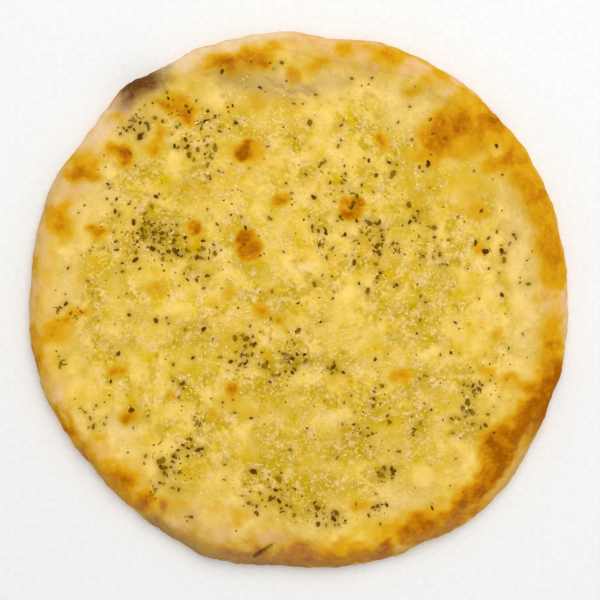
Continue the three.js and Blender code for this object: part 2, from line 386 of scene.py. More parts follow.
@dataclass(frozen=True)
class Loaf:
    """The form of the whole focaccia in mm: where its faces are. An inset runs in from the outline."""

    radius: float = 150
    floor: float = 7
    rim_height: float = 13.5
    rim_width: float = 27
    crown: float = 9.5
    widest: float = 4.6
    foot: float = 4
    shore: float = 11.5
    cheese: float = 1.7
    cheese_edge: float = 0.7
    gap: float = 0.3
    bubble_fade: float = 5
    outline_steps: int = 120
    crumb_swell: Swell = Swell(11, 9, 55, 0.4, 0.9)
    cheese_swell: Swell = Swell(23, 12, 21, 0.4, 0.45)
    outline_ripple: Ripple = Ripple(3, 11, 34, 0.45)
    crown_ripple: Ripple = Ripple(5, 3, 15, 1.3)
    shore_ripple: Ripple = Ripple(29, 4, 26, 2.6)

    def outline(self, angle: Array) -> Array:
        """The outline's radius at each angle."""
        bulges = sum(push.reach(angle) for push in OUTLINE_BULGES)
        return self.radius + bulges + self.outline_ripple.lift(angle)

    @cached_property
    def middle(self) -> Array:
        """The middle of the outline's box, which the origin is under.

        Returns:
            Its place along X and Y.
        """
        angle = np.arange(self.outline_steps) * TURN / self.outline_steps
        corners = self.outline(angle)[:, None] * np.stack([np.cos(angle), np.sin(angle)], axis=1)
        return (corners.min(axis=0) + corners.max(axis=0)) / 2

    def crown_inset(self, angle: Array) -> Array:
        """How far in the rim's crown stands."""
        return self.crown + sum(push.reach(angle) for push in RIM_SLUMPS)

    def shore_inset(self, angle: Array) -> Array:
        """How far in the cheese ends."""
        return self.shore + self.shore_ripple.lift(angle)

    def shore_radius(self, angle: Array) -> Array:
        """The radius where the cheese ends."""
        return self.outline(angle) - self.shore_inset(angle)

    def rim_profile(self, angle: Array, inset: Array) -> Array:
        """The bread's upper face without bubbles: floor, slope up to the crown, and round shoulder.

        Args:
            angle: Angles round the loaf in radians.
            inset: How far in from the outline.

        Returns:
            The height at each place.
        """
        crown = self.crown_inset(angle)
        crown_height = self.rim_height + self.crown_ripple.lift(angle)
        reach = np.clip(1 - inset / crown, 0, 1)
        shoulder = self.widest + (crown_height - self.widest) * np.sqrt(1 - reach * reach)
        slope = ease((self.rim_width - inset) / (self.rim_width - crown))
        return np.where(inset < crown, shoulder, self.floor + (crown_height - self.floor) * slope)

    def bread_height(self, angle: Array, radius: Array) -> Array:
        """The height of the bread's upper face.

        Args:
            angle: Angles round the loaf in radians.
            radius: How far out from the middle.

        Returns:
            The height at each place.
        """
        inset = np.maximum(0, self.outline(angle) - radius)
        swell = self.crumb_swell.lift(radius * np.cos(angle), radius * np.sin(angle))
        bubbles = sum(bubble.lift(angle, inset, self.radius) for bubble in RIM_BUBBLES)
        lift = swell * ease(inset / self.crown_inset(angle)) + bubbles * ease(inset / self.bubble_fade)
        return self.rim_profile(angle, inset) + lift

    def cheese_depth(self, angle: Array, radius: Array) -> Array:
        """The thickness of the cheese: thin at its shore, swollen and blistered inside.

        Args:
            angle: Angles round the loaf in radians.
            radius: How far out from the middle.

        Returns:
            The thickness at each place.
        """
        plan = np.stack([radius * np.cos(angle), radius * np.sin(angle)])
        x, y = plan - self.middle[:, None]
        blisters = sum(blister.lift(x, y) for blister in CHEESE_BLISTERS)
        inland = ease((self.shore_radius(angle) - radius) / (2 * self.shore))
        body = self.cheese - self.cheese_edge + self.cheese_swell.lift(*plan) + blisters
        return self.cheese_edge + inland * body

    def place(self, angle: Array, radius: Array, height: Array) -> Array:
        """Points in the part's frame.

        Args:
            angle: Angles round the loaf in radians.
            radius: How far out from the middle.
            height: How high.

        Returns:
            The points, one row each.
        """
        x = radius * np.cos(angle) - self.middle[0]
        y = radius * np.sin(angle) - self.middle[1]
        return np.stack([x, y, height], axis=-1)

    def polar(self, points: Array) -> tuple[Array, Array]:
        """The angle and radius of points in the part's frame."""
        x, y = (points[:, :2] + self.middle).T
        return np.arctan2(y, x), np.hypot(x, y)


# What the oven and the cook left on it


@dataclass(frozen=True)
class Spot:
    """A soft patch: place, half widths along X and Y in mm, and strength."""

    # The softest edge that a spot may have, in its own half widths
    SOFTEST = 2.2

    x: float
    y: float
    wide: float
    deep: float
    strength: float

    def cover(self, plan: Array, edge: float) -> Array:
        """How strongly it covers each point.

        Args:
            plan: Points in mm, one row each.
            edge: How many mm its edge takes, less for a small spot.

        Returns:
            A number up to its strength for each point.
        """
        off = np.hypot((plan[:, 0] - self.x) / self.wide, (plan[:, 1] - self.y) / self.deep)
        half = min(self.wide, self.deep)
        return self.strength * ease(0.5 + (1 - off) * half / min(edge, self.SOFTEST * half))


@dataclass(frozen=True)
class Arc:
    """A stretch of the rim: headings in degrees, insets in mm, strength and how softly it ends inward."""

    # How softly its ends and its outer edge run out, in degrees and mm, and how much they are warped
    END_SOFT = 8
    END_WARP = 0.8
    OUTER_SOFT = 3.5
    OUTER_WARP = 0.4

    start: float
    end: float
    inner: float
    outer: float
    strength: float
    soft: float = 13

    def cover(self, angle: Array, inset: Array, warp: Array) -> Array:
        """How strongly it covers each place.

        Args:
            angle: Angles round the loaf in radians.
            inset: How far in from the outline, in mm.
            warp: How far its edges are moved there, in mm.

        Returns:
            A number up to its strength for each place.
        """
        gap = np.abs(heading_gap(angle, (self.start + self.end) / 2))
        along = ease(0.5 + ((self.end - self.start) / 2 - gap + self.END_WARP * warp) / self.END_SOFT)
        inward = ease(0.5 + (self.inner - inset + warp) / self.soft)
        outward = ease(0.5 + (inset - self.outer + self.OUTER_WARP * warp) / self.OUTER_SOFT)
        return self.strength * along * inward * outward


@dataclass(frozen=True)
class Crease:
    """A fold or slit: places of its two ends, half width and depth, all in mm."""

    # Its width in the middle, in half widths. It narrows to nearly nothing at the ends.
    BELLY = 1.15

    start: Span
    end: Span
    half: float
    depth: float

    def cover(self, plan: Array) -> Array:
        """How near each point is to the crease.

        Args:
            plan: Points in mm, one row each.

        Returns:
            A number for each point, 1 on the crease.
        """
        start, run = np.array(self.start), np.subtract(self.end, self.start)
        share = np.clip((plan - start) @ run / (run @ run), 0, 1)
        off = np.hypot(*(plan - start - share[:, None] * run).T)
        return bell(off / (self.half * (self.BELLY - np.abs(2 * share - 1) ** 2)))


# Round toasted blisters in the cheese, and the browner places in them, partly browning and partly painted
# shade on one side of each dome
TOASTED_BLISTERS = (
    Spot(-28.3, 30, 8.4, 9.8, 0.66), Spot(29.5, 50.6, 7.6, 7, 0.66), Spot(-57.4, 39.7, 4.6, 4.8, 0.66),
    Spot(-9.7, 55, 4.8, 4.2, 0.6), Spot(-36.8, -49.4, 4.6, 4.2, 0.6), Spot(100.7, 28, 3.2, 3, 0.55),
    Spot(-71.3, -53.6, 3, 3, 0.45), Spot(-48, -63.5, 3.2, 2.8, 0.42),
)
# Browner places in the blisters: partly browning, partly painted shade on one side of each dome
SHADED_BLISTER_CORES = (
    Spot(-30.3, 33.6, 4.2, 4.4, 0.8), Spot(-24.2, 28.6, 2.6, 3.6, 0.6), Spot(-29.5, 26.5, 3.6, 3, 0.45),
    Spot(32, 52.4, 4, 4, 0.6), Spot(26, 47.4, 4.2, 1.7, 0.9), Spot(-56.4, 38.8, 2.4, 2.6, 0.9),
    Spot(-36.4, -48.8, 2.4, 2, 0.5), Spot(-9, 54.6, 2.2, 2, 0.45),
)
# Ragged gold and brown smears in the cheese
CHEESE_SMEARS = (
    Spot(-28.5, 81.2, 8, 5.6, 0.42), Spot(-30.2, 81.2, 3.6, 3.4, 0.78), Spot(-27, 84.3, 2.6, 3, 0.5),
    Spot(-100.5, 82.5, 5.5, 3.4, 0.5), Spot(-96, 77.5, 4, 4.4, 0.66), Spot(-77.4, 93, 2.8, 4.6, 0.55),
    Spot(-82.5, 81.5, 3, 3, 0.36), Spot(-79, 84.5, 2.6, 3.4, 0.46), Spot(-66, 107, 9, 6, 0.4),
    Spot(-62, 101, 4, 5, 0.36), Spot(-75, 108, 5, 3.4, 0.4), Spot(-111.3, 37.6, 4.4, 3.4, 0.54),
    Spot(-78.5, 5.8, 5, 2.8, 0.36), Spot(-22.5, 109, 4.4, 4.4, 0.28), Spot(46.3, 87.4, 3.4, 3.8, 0.55),
    Spot(20.8, 94.1, 3, 2.4, 0.26), Spot(63, 114.4, 6, 4.4, 0.34), Spot(98.5, 48.6, 7, 4.6, 0.28),
    Spot(-100.7, -39.1, 4.6, 4.2, 0.48), Spot(-92.4, -64.1, 5.4, 4.8, 0.48),
    Spot(-20.3, -6.4, 4.4, 3.4, 0.44), Spot(-9.7, -11.9, 3, 3.6, 0.5), Spot(-18, -30.8, 3, 2.6, 0.3),
    Spot(56.9, -42.5, 6, 4, 0.4), Spot(109, -19.7, 4, 2.6, 0.3), Spot(104, -40.8, 4, 3, 0.3),
    Spot(115.7, -43.6, 4, 3, 0.3), Spot(32.5, -114, 5, 4, 0.3), Spot(-38, 3.5, 4.6, 3, 0.28),
    Spot(-24, 24, 3.6, 4.2, 0.2), Spot(-56, 62, 7, 4, 0.16), Spot(-38, -55.5, 5, 4, 0.2),
    Spot(122, -46, 7, 5, 0.2), Spot(-98, 80, 5.5, 5, 0.34),
)
# Broad toasted places on and near the rim, and the stretches of the rim that toasted
RIM_TOASTS = (
    Spot(84, 98, 11, 9, 0.68), Spot(74, 88.5, 8, 8, 0.68), Spot(106, 98, 10, 6.5, 0.64),
    Spot(10, 126, 16, 6, 0.1), Spot(-24, 125, 8, 5, 0.1), Spot(92, 86, 14, 8, 0.48),
    Spot(72, 78, 9, 5, 0.42), Spot(113.5, 76.5, 6, 3, 0.5), Spot(105, 74, 4.4, 2.8, 0.48),
    Spot(122, 74, 7, 14, 0.3), Spot(133, 58, 9, 10, 0.36), Spot(138, 36, 8, 13, 0.36),
    Spot(142, 17.5, 8, 10, 0.36), Spot(94, 62, 17, 9, 0.18), Spot(48.6, 133.5, 7.4, 5.4, 0.42),
    Spot(25.3, 138, 4, 5, 0.42), Spot(33, 141, 6, 3.4, 0.22), Spot(11, 129.4, 6, 4, 0.4),
    Spot(-2.6, 123.6, 4, 5, 0.54), Spot(-18, 131.8, 4.4, 3.6, 0.58), Spot(-13.6, 139, 4, 3, 0.3),
    Spot(-27.5, 135, 4.6, 5, 0.58), Spot(-39, 130.2, 9, 3.8, 0.82), Spot(-50, 127, 9, 7, 0.2),
    Spot(-36, 132, 14, 7, 0.08), Spot(-101, 99.6, 4.4, 3.4, 0.36), Spot(-24, 130.5, 5, 4, 0.26),
    Spot(-119.5, 74.5, 9.4, 8.6, 0.42), Spot(-120.7, 68, 5, 3.4, 0.52), Spot(-115, 70.5, 4, 4.6, 0.42),
    Spot(-131.8, 45.2, 6, 7, 0.6), Spot(-128, 35.4, 4.6, 4, 0.28), Spot(-146, 20, 3, 5, 0.3),
    Spot(-121.3, -7.5, 6, 3, 0.46), Spot(-130, -10.5, 4, 3, 0.4), Spot(-132.9, -17.5, 7.4, 6, 0.44),
    Spot(-144, -33, 3.6, 7, 0.5), Spot(-126, -74, 4, 8, 0.56), Spot(-116.5, -86, 4, 5.4, 0.38),
    Spot(-95.7, -97, 9, 7, 0.32), Spot(-95.7, -97.6, 6, 4, 0.44), Spot(-83.5, -111, 4, 4, 0.62),
    Spot(-72, -113.5, 6, 4, 0.28), Spot(-62.4, -113.5, 4, 3.4, 0.32), Spot(-46.9, -116.3, 5, 4, 0.3),
    Spot(-33, -120.2, 5, 4, 0.34), Spot(-26, -133, 3.4, 3.4, 0.34), Spot(-1.4, -138.6, 6.6, 5, 0.52),
    Spot(15, -139.6, 9, 4.4, 0.4), Spot(47.5, -128.5, 8, 5, 0.4), Spot(66, -123.8, 9, 5.4, 0.54),
    Spot(98, -110, 9, 6.4, 0.62), Spot(115, -80, 13, 11, 0.8), Spot(106.9, -85.7, 6, 6.4, 0.84),
    Spot(129.7, -72.4, 5, 6, 0.56), Spot(128, -64, 10, 10, 0.6), Spot(135.7, -51.3, 8, 9, 0.54),
    Spot(139, -40.8, 7, 8, 0.5), Spot(139.5, -26.9, 6, 9, 0.32), Spot(139.5, -15, 6, 7, 0.26),
)
RIM_TOAST_ARCS = (
    Arc(2, 46, 16, 0.5, 0.35), Arc(46, 62, 13, 2, 0.27), Arc(46, 74, 5, -2, 0.26),
    Arc(62, 98, 13, 4, 0.16), Arc(150, 204, 14, 1, 0.2), Arc(182, 208, 4, -3, 0.42),
    Arc(204, 214, 6, 0, 0.42, 8), Arc(214, 236, 13, 0, 0.53), Arc(236, 258, 12, 0, 0.42),
    Arc(256, 291, 11, 0, 0.72), Arc(290, 342, 16, 0.5, 0.7), Arc(308, 332, 11, -1, 0.6),
    Arc(332, 348, 8, -1, 0.68), Arc(342, 360, 13, 3, 0.2),
)
# Where the rim's outer side stayed pale under a toasted crown
PALE_ARCS = (Arc(311, 330, 6.5, -3, 0.72, 4),)
# The bubble that burnt
CHAR_ARCS = (Arc(121.5, 132, 10.5, -3, 0.95, 8), Arc(119, 132, 12, -3, 0.25, 9))
# Stretches of the rim that stayed floury, and those greyed with painted shade on the side away from the
# light
FLOUR_ARCS = (
    Arc(40, 62, 7, 0, 0.4), Arc(92, 121, 12, 0, 0.9), Arc(132, 206, 11, 0, 0.6),
    Arc(232, 256, 11, 0, 0.35), Arc(340, 362, 5, 0, 0.55),
)
# Painted shade on the rim's outer side, mostly on the side away from the light
PAINTED_SHADE_ARCS = (
    Arc(234, 268, 6.5, -3, 0.7), Arc(268, 308, 5, -3, 0.48), Arc(236, 276, 20, -3, 0.26),
    Arc(212, 236, 4, -3, 0.45), Arc(310, 332, 6, -3, 0.3), Arc(150, 206, 2.5, -3, 0.35),
)
# Two broad folds in the cheese behind the rim with fine ones in them, and a slit where the dough tore.
# Painted shade darkens both: grey in the folds, burnt colour in the slit.
FOLDS = (
    Crease((-52, 124), (10, 115), 6.5, 0.4), Crease((0, 117), (30, 121), 6, 0.42),
    Crease((-22, 122.5), (-8, 117.5), 0.75, 0.45), Crease((-9, 118), (3, 113), 0.75, 0.5),
    Crease((-14, 115), (-6, 111), 0.7, 0.35), Crease((-4, 116), (8, 112.5), 0.7, 0.4),
    Crease((-6.5, -120), (3, -126.5), 0.6, 0.35),
)
SLITS = (
    Crease((-25.6, -142.6), (-18.6, -137.8), 1.1, 1.6), Crease((-22.6, -140.6), (-13.6, -134.4), 0.7, 0.8),
)
# Where the dough shows through the cheese
BARE_PLACES = (Spot(-40, -128, 5, 4, 0.8), Spot(-17, -132, 8, 3.4, 0.85))
# Where much oil came out, the hollows where it stands and covers the grains, and where little came out
OIL_POOLS = (
    Spot(62, -6, 12, 10, 0.6), Spot(72, -15, 9, 11, 0.55), Spot(78, 11, 9, 9, 0.85),
    Spot(12, -12, 10, 8, 0.55), Spot(-62, -20, 13, 11, 0.7), Spot(-47, -24, 12, 8, 0.6),
    Spot(-60, -43, 9, 8, 0.5), Spot(-12, -36, 14, 10, 0.7), Spot(22, -34, 18, 8, 0.5),
    Spot(-34, -56, 10, 8, 0.75), Spot(-6, -58, 14, 9, 0.8), Spot(67, -68, 12, 10, 0.7),
    Spot(34, -78, 28, 11, 0.9), Spot(-6, -80, 14, 9, 0.65), Spot(70, -82, 10, 8, 0.6),
    Spot(14, -100, 16, 9, 0.8), Spot(56, -98, 9, 7, 0.55), Spot(12, -121, 10, 6, 0.6),
    Spot(45, 20, 13, 8, 0.3), Spot(-84, 34, 18, 9, 0.55), Spot(-55, 99, 13, 8, 0.55),
)
OIL_TROUGHS = (
    Spot(67, 57, 4.6, 6, 0.9), Spot(69, 49, 5.6, 8, 1), Spot(72, 42, 5, 4.6, 0.85),
    Spot(62, 65, 4, 5, 0.45),
)
DRY_PLACES = (
    Spot(-34, 74, 14, 12, 0.7), Spot(-32, 54, 28, 9, 0.75), Spot(-12, 34, 16, 10, 0.7),
    Spot(-50, 30, 10, 8, 0.5), Spot(-12, 100, 16, 8, 0.65), Spot(56, 98, 10, 8, 0.5),
    Spot(36, 58, 9, 8, 0.6), Spot(12, 58, 12, 10, 0.6), Spot(-99, -11, 10, 10, 0.75),
    Spot(-78, -11, 10, 8, 0.65), Spot(-32, -11, 10, 8, 0.85), Spot(56, -33, 10, 8, 0.75),
    Spot(58, 20, 9, 14, 0.65), Spot(86, 56, 8, 10, 0.6), Spot(80, -34, 9, 8, 0.65),
    Spot(90, -54, 16, 9, 0.75), Spot(-44, -100, 14, 8, 0.65),
)
# Where the cheese lies smooth, without grains
SMOOTH_PLACES = (
    Spot(127, -14, 9, 28, 0.55), Spot(121, 50, 8, 26, 0.6), Spot(60, 103, 18, 12, 0.6),
    Spot(124, 20, 8, 16, 0.45), Spot(56, -112, 18, 9, 0.5), Spot(-100, 105, 18, 12, 0.7),
    Spot(-118, 60, 12, 20, 0.6), Spot(0, 116, 40, 8, 0.6), Spot(-40, -120, 20, 10, 0.5),
    Spot(-98, -80, 12, 14, 0.7), Spot(-132, 12, 10, 18, 0.5),
)


@dataclass(frozen=True)
class Pinch:
    """Where a pinch of large flakes fell, as in the solid: place, spread in mm and count."""

    x: float
    y: float
    spread: float
    flakes: int

    def drop(self, draw: Draw) -> Span:
        """A place in the pinch."""
        return self.x + self.spread * draw.offset(), self.y + self.spread * draw.offset()


@dataclass(frozen=True)
class Sprinkle:
    """Where small bits fell: place, half widths along X and Y in mm, and count."""

    # How far the outermost bits fall, in half widths
    FARTHEST = 1.6

    x: float
    y: float
    wide: float
    deep: float
    flakes: int

    def drop(self, draw: Draw) -> Span:
        """A place in the sprinkle."""
        x = self.x + self.FARTHEST * self.wide * draw.offset()
        return x, self.y + self.FARTHEST * self.deep * draw.offset()


PINCHES = (
    Pinch(-80, 35, 26, 12), Pinch(-92, 94, 13, 6), Pinch(-56, 94, 24, 10), Pinch(-55, 20, 16, 6),
    Pinch(23, 61, 21, 6), Pinch(42, 31, 36, 12), Pinch(-30, -31, 14, 5), Pinch(-5, -34, 14, 5),
    Pinch(-70, -87, 16, 6), Pinch(-72, -98, 12, 4), Pinch(-13, -106, 21, 7), Pinch(17, -118, 14, 5),
    Pinch(49, -96, 8, 4), Pinch(93, -60, 19, 7), Pinch(62, 77, 17, 3), Pinch(112, 29, 10, 3),
)
SPRINKLES = (
    Sprinkle(-94, 97, 9, 7, 13), Sprinkle(-57, 103, 15, 6.4, 14), Sprinkle(-56, 87, 12, 6, 15),
    Sprinkle(-86, 35.5, 20, 16, 34), Sprinkle(-79, 37.6, 8, 5, 28), Sprinkle(-59, 20, 13, 8, 14),
    Sprinkle(-50, 68, 2.5, 7.5, 4), Sprinkle(23.6, 62, 12, 11, 14), Sprinkle(39, 33, 36, 11, 30),
    Sprinkle(15, 28, 5, 4, 5), Sprinkle(40, 36.4, 5, 4, 5), Sprinkle(49, 27, 8, 3.4, 8),
    Sprinkle(74.6, 27.5, 7, 4, 6), Sprinkle(46, 13.6, 2.5, 3, 4), Sprinkle(-29.4, -31, 6, 11, 15),
    Sprinkle(-8, -34, 8, 10, 18), Sprinkle(-70, -86, 12, 5.3, 12), Sprinkle(-71, -99, 7.5, 4.7, 9),
    Sprinkle(-81.6, -108.5, 3, 2.2, 3), Sprinkle(-14.4, -106.6, 14, 8.6, 18),
    Sprinkle(-61, -122, 1.5, 5, 2), Sprinkle(-55, -67, 4, 3, 3), Sprinkle(-131, -6, 13, 4.7, 7),
    Sprinkle(-131, -35, 1.5, 4, 2), Sprinkle(-112, -66.6, 6, 7, 6), Sprinkle(18.3, -37.5, 2.5, 2.2, 5),
    Sprinkle(41.6, -55.5, 2.5, 4.2, 4), Sprinkle(49.7, -66.6, 2.5, 2.5, 2), Sprinkle(34, -72.4, 4.2, 3.3, 4),
    Sprinkle(92.7, -65, 7, 8.6, 8), Sprinkle(102, -48.6, 8, 5, 6), Sprinkle(49, -96.8, 5, 4.4, 8),
    Sprinkle(63, -73, 2, 2, 3), Sprinkle(18, -120, 9.7, 7.5, 12), Sprinkle(45.5, -115, 3, 3, 4),
    Sprinkle(113, 29, 5, 6, 5),
)


@dataclass(frozen=True)
class Flake:
    """One leaf flake: place by angle and radius, length, width and heading."""

    angle: float
    radius: float
    length: float
    width: float
    turn: float


@dataclass(frozen=True)
class Strewing:
    """One handful: where it fell, its seed, its strays, and the share of the cheese's radius it keeps in.

    Lengths are in mm, and slimness is a flake's width beside its length.
    """

    drops: tuple[Pinch | Sprinkle, ...]
    seed: int
    strays: int
    reach: float
    lengths: Span
    slimness: Span

    def flakes(self, loaf: Loaf) -> list[Flake]:
        """The flakes, pinch by pinch, then strays over the whole cheese.

        Args:
            loaf: What they fell on.

        Returns:
            The flakes in the order of their drawing.
        """
        draw = Draw(self.seed)
        made = []
        for drop in self.drops:
            for _ in range(drop.flakes):
                x, y = np.array(drop.drop(draw)) + loaf.middle
                made.append(self.flake(loaf, draw, math.atan2(y, x), math.hypot(x, y)))
        for _ in range(self.strays):
            angle = TURN * draw.next()
            radius = self.limit(loaf, angle) * math.sqrt(draw.next())
            made.append(self.flake(loaf, draw, angle, radius))
        return made

    def limit(self, loaf: Loaf, angle: float) -> float:
        """The largest radius of a flake at an angle."""
        return self.reach * float(loaf.shore_radius(np.array(angle)))

    def flake(self, loaf: Loaf, draw: Draw, angle: float, radius: float) -> Flake:
        """One flake of drawn size and heading.

        Args:
            loaf: What it fell on.
            draw: Where its size and heading come from.
            angle: Its angle round the loaf in radians.
            radius: How far out it fell. It is moved in to the reach.

        Returns:
            The flake.
        """
        length = draw.between(*self.lengths)
        width = length * draw.between(*self.slimness)
        return Flake(angle, min(radius, self.limit(loaf, angle)), length, width, TURN * draw.next())


# The first is the solid's own; the others are finer than its triangles allow
LARGE_FLAKES = Strewing(PINCHES, 71, 20, 0.9, (1.9, 4), (0.45, 0.72))
SMALL_FLAKES = Strewing(SPRINKLES, 87, 160, 0.97, (1.1, 2.8), (0.35, 0.7))
SPECKS = Strewing(SPRINKLES, 93, 260, 0.99, (0.5, 1.3), (0.5, 0.95))


@dataclass(frozen=True)
class Bake:
    """The marks of the bake at any place on the loaf, each from 0 to 1. Lengths are in mm.

    An edge says how softly a patch ends, and a warp how far its outline wanders.
    """

    # The pitch, share of the reach and seed of the swings that move a patch's outline
    WANDERS = ((8.5, 1, 211), (2.6, 0.3, 223))

    loaf: Loaf
    # The shore of the cheese
    shore_edge: float = 13
    shore_share: float = 0.55
    shore_wander: Mottle = Mottle(13, 113, 5)
    shore_fray: Mottle = Mottle(3, 117, 1.6, 2)
    # Toast
    blister_edge: float = 3.2
    core_edge: float = 3
    blister_warp: float = 1.1
    blister_fleck: float = 3.5
    smear_edge: float = 6.5
    smear_gain: float = 1.45
    smear_limit: float = 0.95
    smear_warp: float = 2.2
    patch_edge: float = 13
    patch_gain: float = 1.12
    pale_warp: float = 0.5
    rim_wander: Mottle = Mottle(9, 101, 4)
    toast_level: float = 1.03
    toast_mottle: Mottle = Mottle(7, 131, 0.22)
    toast_fleck: Mottle = Mottle(1.9, 137, 0.1, 2)
    # Faint gold spots
    faint_toasts: int = 90
    faint_seed: int = 59
    faint_widths: Span = (1.5, 5)
    faint_depths: Span = (1.5, 4)
    faint_strengths: Span = (0.04, 0.18)
    # Char, which lessens down the side to a share of itself
    char_warp: float = 0.35
    char_share_below: float = 0.3
    char_foot: float = 1.5
    char_foot_warp: float = 0.3
    char_fade: float = 4.5
    char_fleck: Mottle = Mottle(1.6, 139, 0.1, 2)
    # Grains of the grated cheese, and clumps of them
    grainy_radius: float = 130
    grainy_fade: float = 22
    grainy_share: float = 0.75
    grainy_wander: Mottle = Mottle(25, 149, 12)
    grainy_gaps: Mottle = Mottle(18, 151, 0.8)
    least_grainy: float = 0.25
    smooth_edge: float = 14
    grain_pitch: float = 2.3
    grain_seed: int = 307
    grain_top: float = 1.1
    grain_fall: float = 1.3
    jostle: float = 0.5
    jostle_pitch: float = 2
    jostle_seeds: tuple[int, int] = (153, 154)
    clump_share: float = 0.1
    clump_crowds: Mottle = Mottle(6.5, 167, 1.5)
    least_clumped: float = 0.15
    # Oil
    pool_edge: float = 12
    halo: float = 1.5
    oil_share: float = 0.43
    oil_drift: Mottle = Mottle(42, 157, 1.9, 5, 0.87)
    drift_strength: float = 0.85
    oil_on_smooth: float = 0.4
    oil_between_grains: float = 1.1
    oil_shed_by_grains: float = 0.22
    # Pale cheese: a grain's own number says whether it is a pale one
    single_strength: float = 0.3
    single_from: float = 0.75
    single_run: float = 0.15
    clumped_from: float = 0.2
    clumped_run: float = 0.4
    least_clump_cream: float = 0.35
    least_cream: float = 0.3
    pale_radius: float = 126
    pale_spread: float = 9
    pale_strength: float = 0.35
    smooth_strength: float = 0.5
    # Painted shade: grey on the rim's side away from the light and in the folds behind the rim
    painted_shade_warp: float = 0.5
    fold_painted_shade: float = 0.8
    fold_limit: float = 0.6
    # Stains round the oregano
    stain_reach: float = 2.3
    stain_start: float = 0.5
    stain_growth: float = 0.22
    stain_end: float = 2.5
    stain_strength: float = 0.32
    deepest_stain: float = 0.6
    flour_dust: Mottle = Mottle(6, 173, 0.4)

    def marks(self, points: Array) -> dict[Mark, Array]:
        """All the marks at these points.

        Args:
            points: Points in mm in the part's frame, one row each.

        Returns:
            A number for each mark at each point.
        """
        angle, radius = self.loaf.polar(points)
        inset = self.loaf.outline(angle) - radius
        plan = points[:, :2]
        warp = self.rim_wander.at(points)
        return {
            Mark.COVER: self.cover(angle, inset, plan),
            Mark.TOAST: self.toast(angle, inset, points, warp),
            Mark.CHAR_AND_SLIT_SHADE: self.char(angle, inset, points, warp),
            Mark.OIL: self.oil(plan),
            Mark.CREAM: self.cream(plan),
            Mark.GRAINY: self.grain_show(plan),
            Mark.STAIN: self.stain(plan),
            Mark.FLOUR: self.flour(angle, inset, points, warp),
            Mark.RAW: self.painted_shade(angle, inset, plan, warp),
        }

    def warped(self, plan: Array, reach: float) -> Array:
        """The places moved, so that patches get uneven outlines.

        Args:
            plan: Places in mm, one row each.
            reach: About how far they are moved.

        Returns:
            The moved places, one row each.
        """
        moved = plan.copy()
        for (pitch, share, seed), axis in product(self.WANDERS, range(2)):
            moved[:, axis] += reach * share * Noise.smooth(plan, pitch, seed + axis)
        return moved

    @staticmethod
    def stretches(arcs: tuple[Arc, ...], angle: Array, inset: Array, warp: Array) -> Array:
        """How strongly some stretches of the rim cover each place.

        Args:
            arcs: The stretches.
            angle: Angles round the loaf in radians.
            inset: How far in from the outline.
            warp: How far their edges are moved there.

        Returns:
            A number for each place.
        """
        bare = np.ones(len(angle))
        for arc in arcs:
            bare *= 1 - arc.cover(angle, inset, warp)
        return 1 - bare

    def cover(self, angle: Array, inset: Array, plan: Array) -> Array:
        """Where the cheese covers the dough, out to an uneven shore.

        Args:
            angle: Angles round the loaf in radians.
            inset: How far in from the outline.
            plan: The same places in the part's frame, one row each.

        Returns:
            A number for each place.
        """
        wander = self.shore_wander.at(plan) + self.shore_fray.at(plan)
        inland = inset - self.loaf.shore_inset(angle) + wander
        covered = ease(self.shore_share + inland / self.shore_edge)
        moved = self.warped(plan, self.smear_warp)
        for spot in BARE_PLACES:
            covered *= 1 - spot.cover(moved, self.smear_edge)
        return covered

    def toast(self, angle: Array, inset: Array, points: Array, warp: Array) -> Array:
        """How brown the top is: blisters, smears, rim patches and a mottle in them.

        Args:
            angle: Angles round the loaf in radians.
            inset: How far in from the outline.
            points: The same places as points in the part's frame, one row each.
            warp: How far the edges of stretches are moved there.

        Returns:
            A number for each place.
        """
        blister_plan = self.warped(points[:, :2], self.blister_warp)
        smear_plan = self.warped(points[:, :2], self.smear_warp)
        bare = 1 - self.stretches(RIM_TOAST_ARCS, angle, inset, warp)
        for spot in CHEESE_SMEARS + self.faint():
            smeared = self.smear_gain * spot.cover(smear_plan, self.smear_edge)
            bare *= 1 - np.minimum(self.smear_limit, smeared)
        for spot in RIM_TOASTS:
            bare *= 1 - self.patch_gain * spot.cover(smear_plan, self.patch_edge)
        fine = self.toast_fleck.at(points)
        mottle = self.toast_level + fine + self.toast_mottle.at(points)
        mottle *= 1 - self.stretches(PALE_ARCS, angle, inset, self.pale_warp * warp)
        pale = 1 - np.clip((1 - bare) * mottle, 0, 1)
        for spots, edge in ((TOASTED_BLISTERS, self.blister_edge), (SHADED_BLISTER_CORES, self.core_edge)):
            for spot in spots:
                pale *= 1 - np.clip(spot.cover(blister_plan, edge) * (1 + self.blister_fleck * fine), 0, 1)
        return 1 - pale

    def faint(self) -> tuple[Spot, ...]:
        """Faint gold spots all over the cheese.

        Returns:
            The spots in the order of their drawing.
        """
        draw = Draw(self.faint_seed)
        spots = []
        for _ in range(self.faint_toasts):
            heading, radius = TURN * draw.next(), self.grainy_radius * math.sqrt(draw.next())
            wide, deep = draw.between(*self.faint_widths), draw.between(*self.faint_depths)
            place = radius * math.cos(heading), radius * math.sin(heading)
            spots.append(Spot(*place, wide, deep, draw.between(*self.faint_strengths)))
        return tuple(spots)

    def char(self, angle: Array, inset: Array, points: Array, warp: Array) -> Array:
        """Where the crust is burnt, less so down the side, and painted shade in the slit, in the burnt
        colour.

        Args:
            angle: Angles round the loaf in radians.
            inset: How far in from the outline.
            points: The same places as points in the part's frame, one row each.
            warp: How far the edges of stretches are moved there.

        Returns:
            A number for each place.
        """
        burnt = self.stretches(CHAR_ARCS, angle, inset, self.char_warp * warp)
        risen = ease((points[:, 2] - self.char_foot + self.char_foot_warp * warp) / self.char_fade)
        burnt *= self.char_share_below + (1 - self.char_share_below) * risen
        burnt *= 1 + self.char_fleck.at(points)
        # Painted shade inside the slit, in the burnt colour
        torn = np.max([slit.cover(points[:, :2]) for slit in SLITS], axis=0)
        return np.clip(np.maximum(burnt, torn), 0, 1)

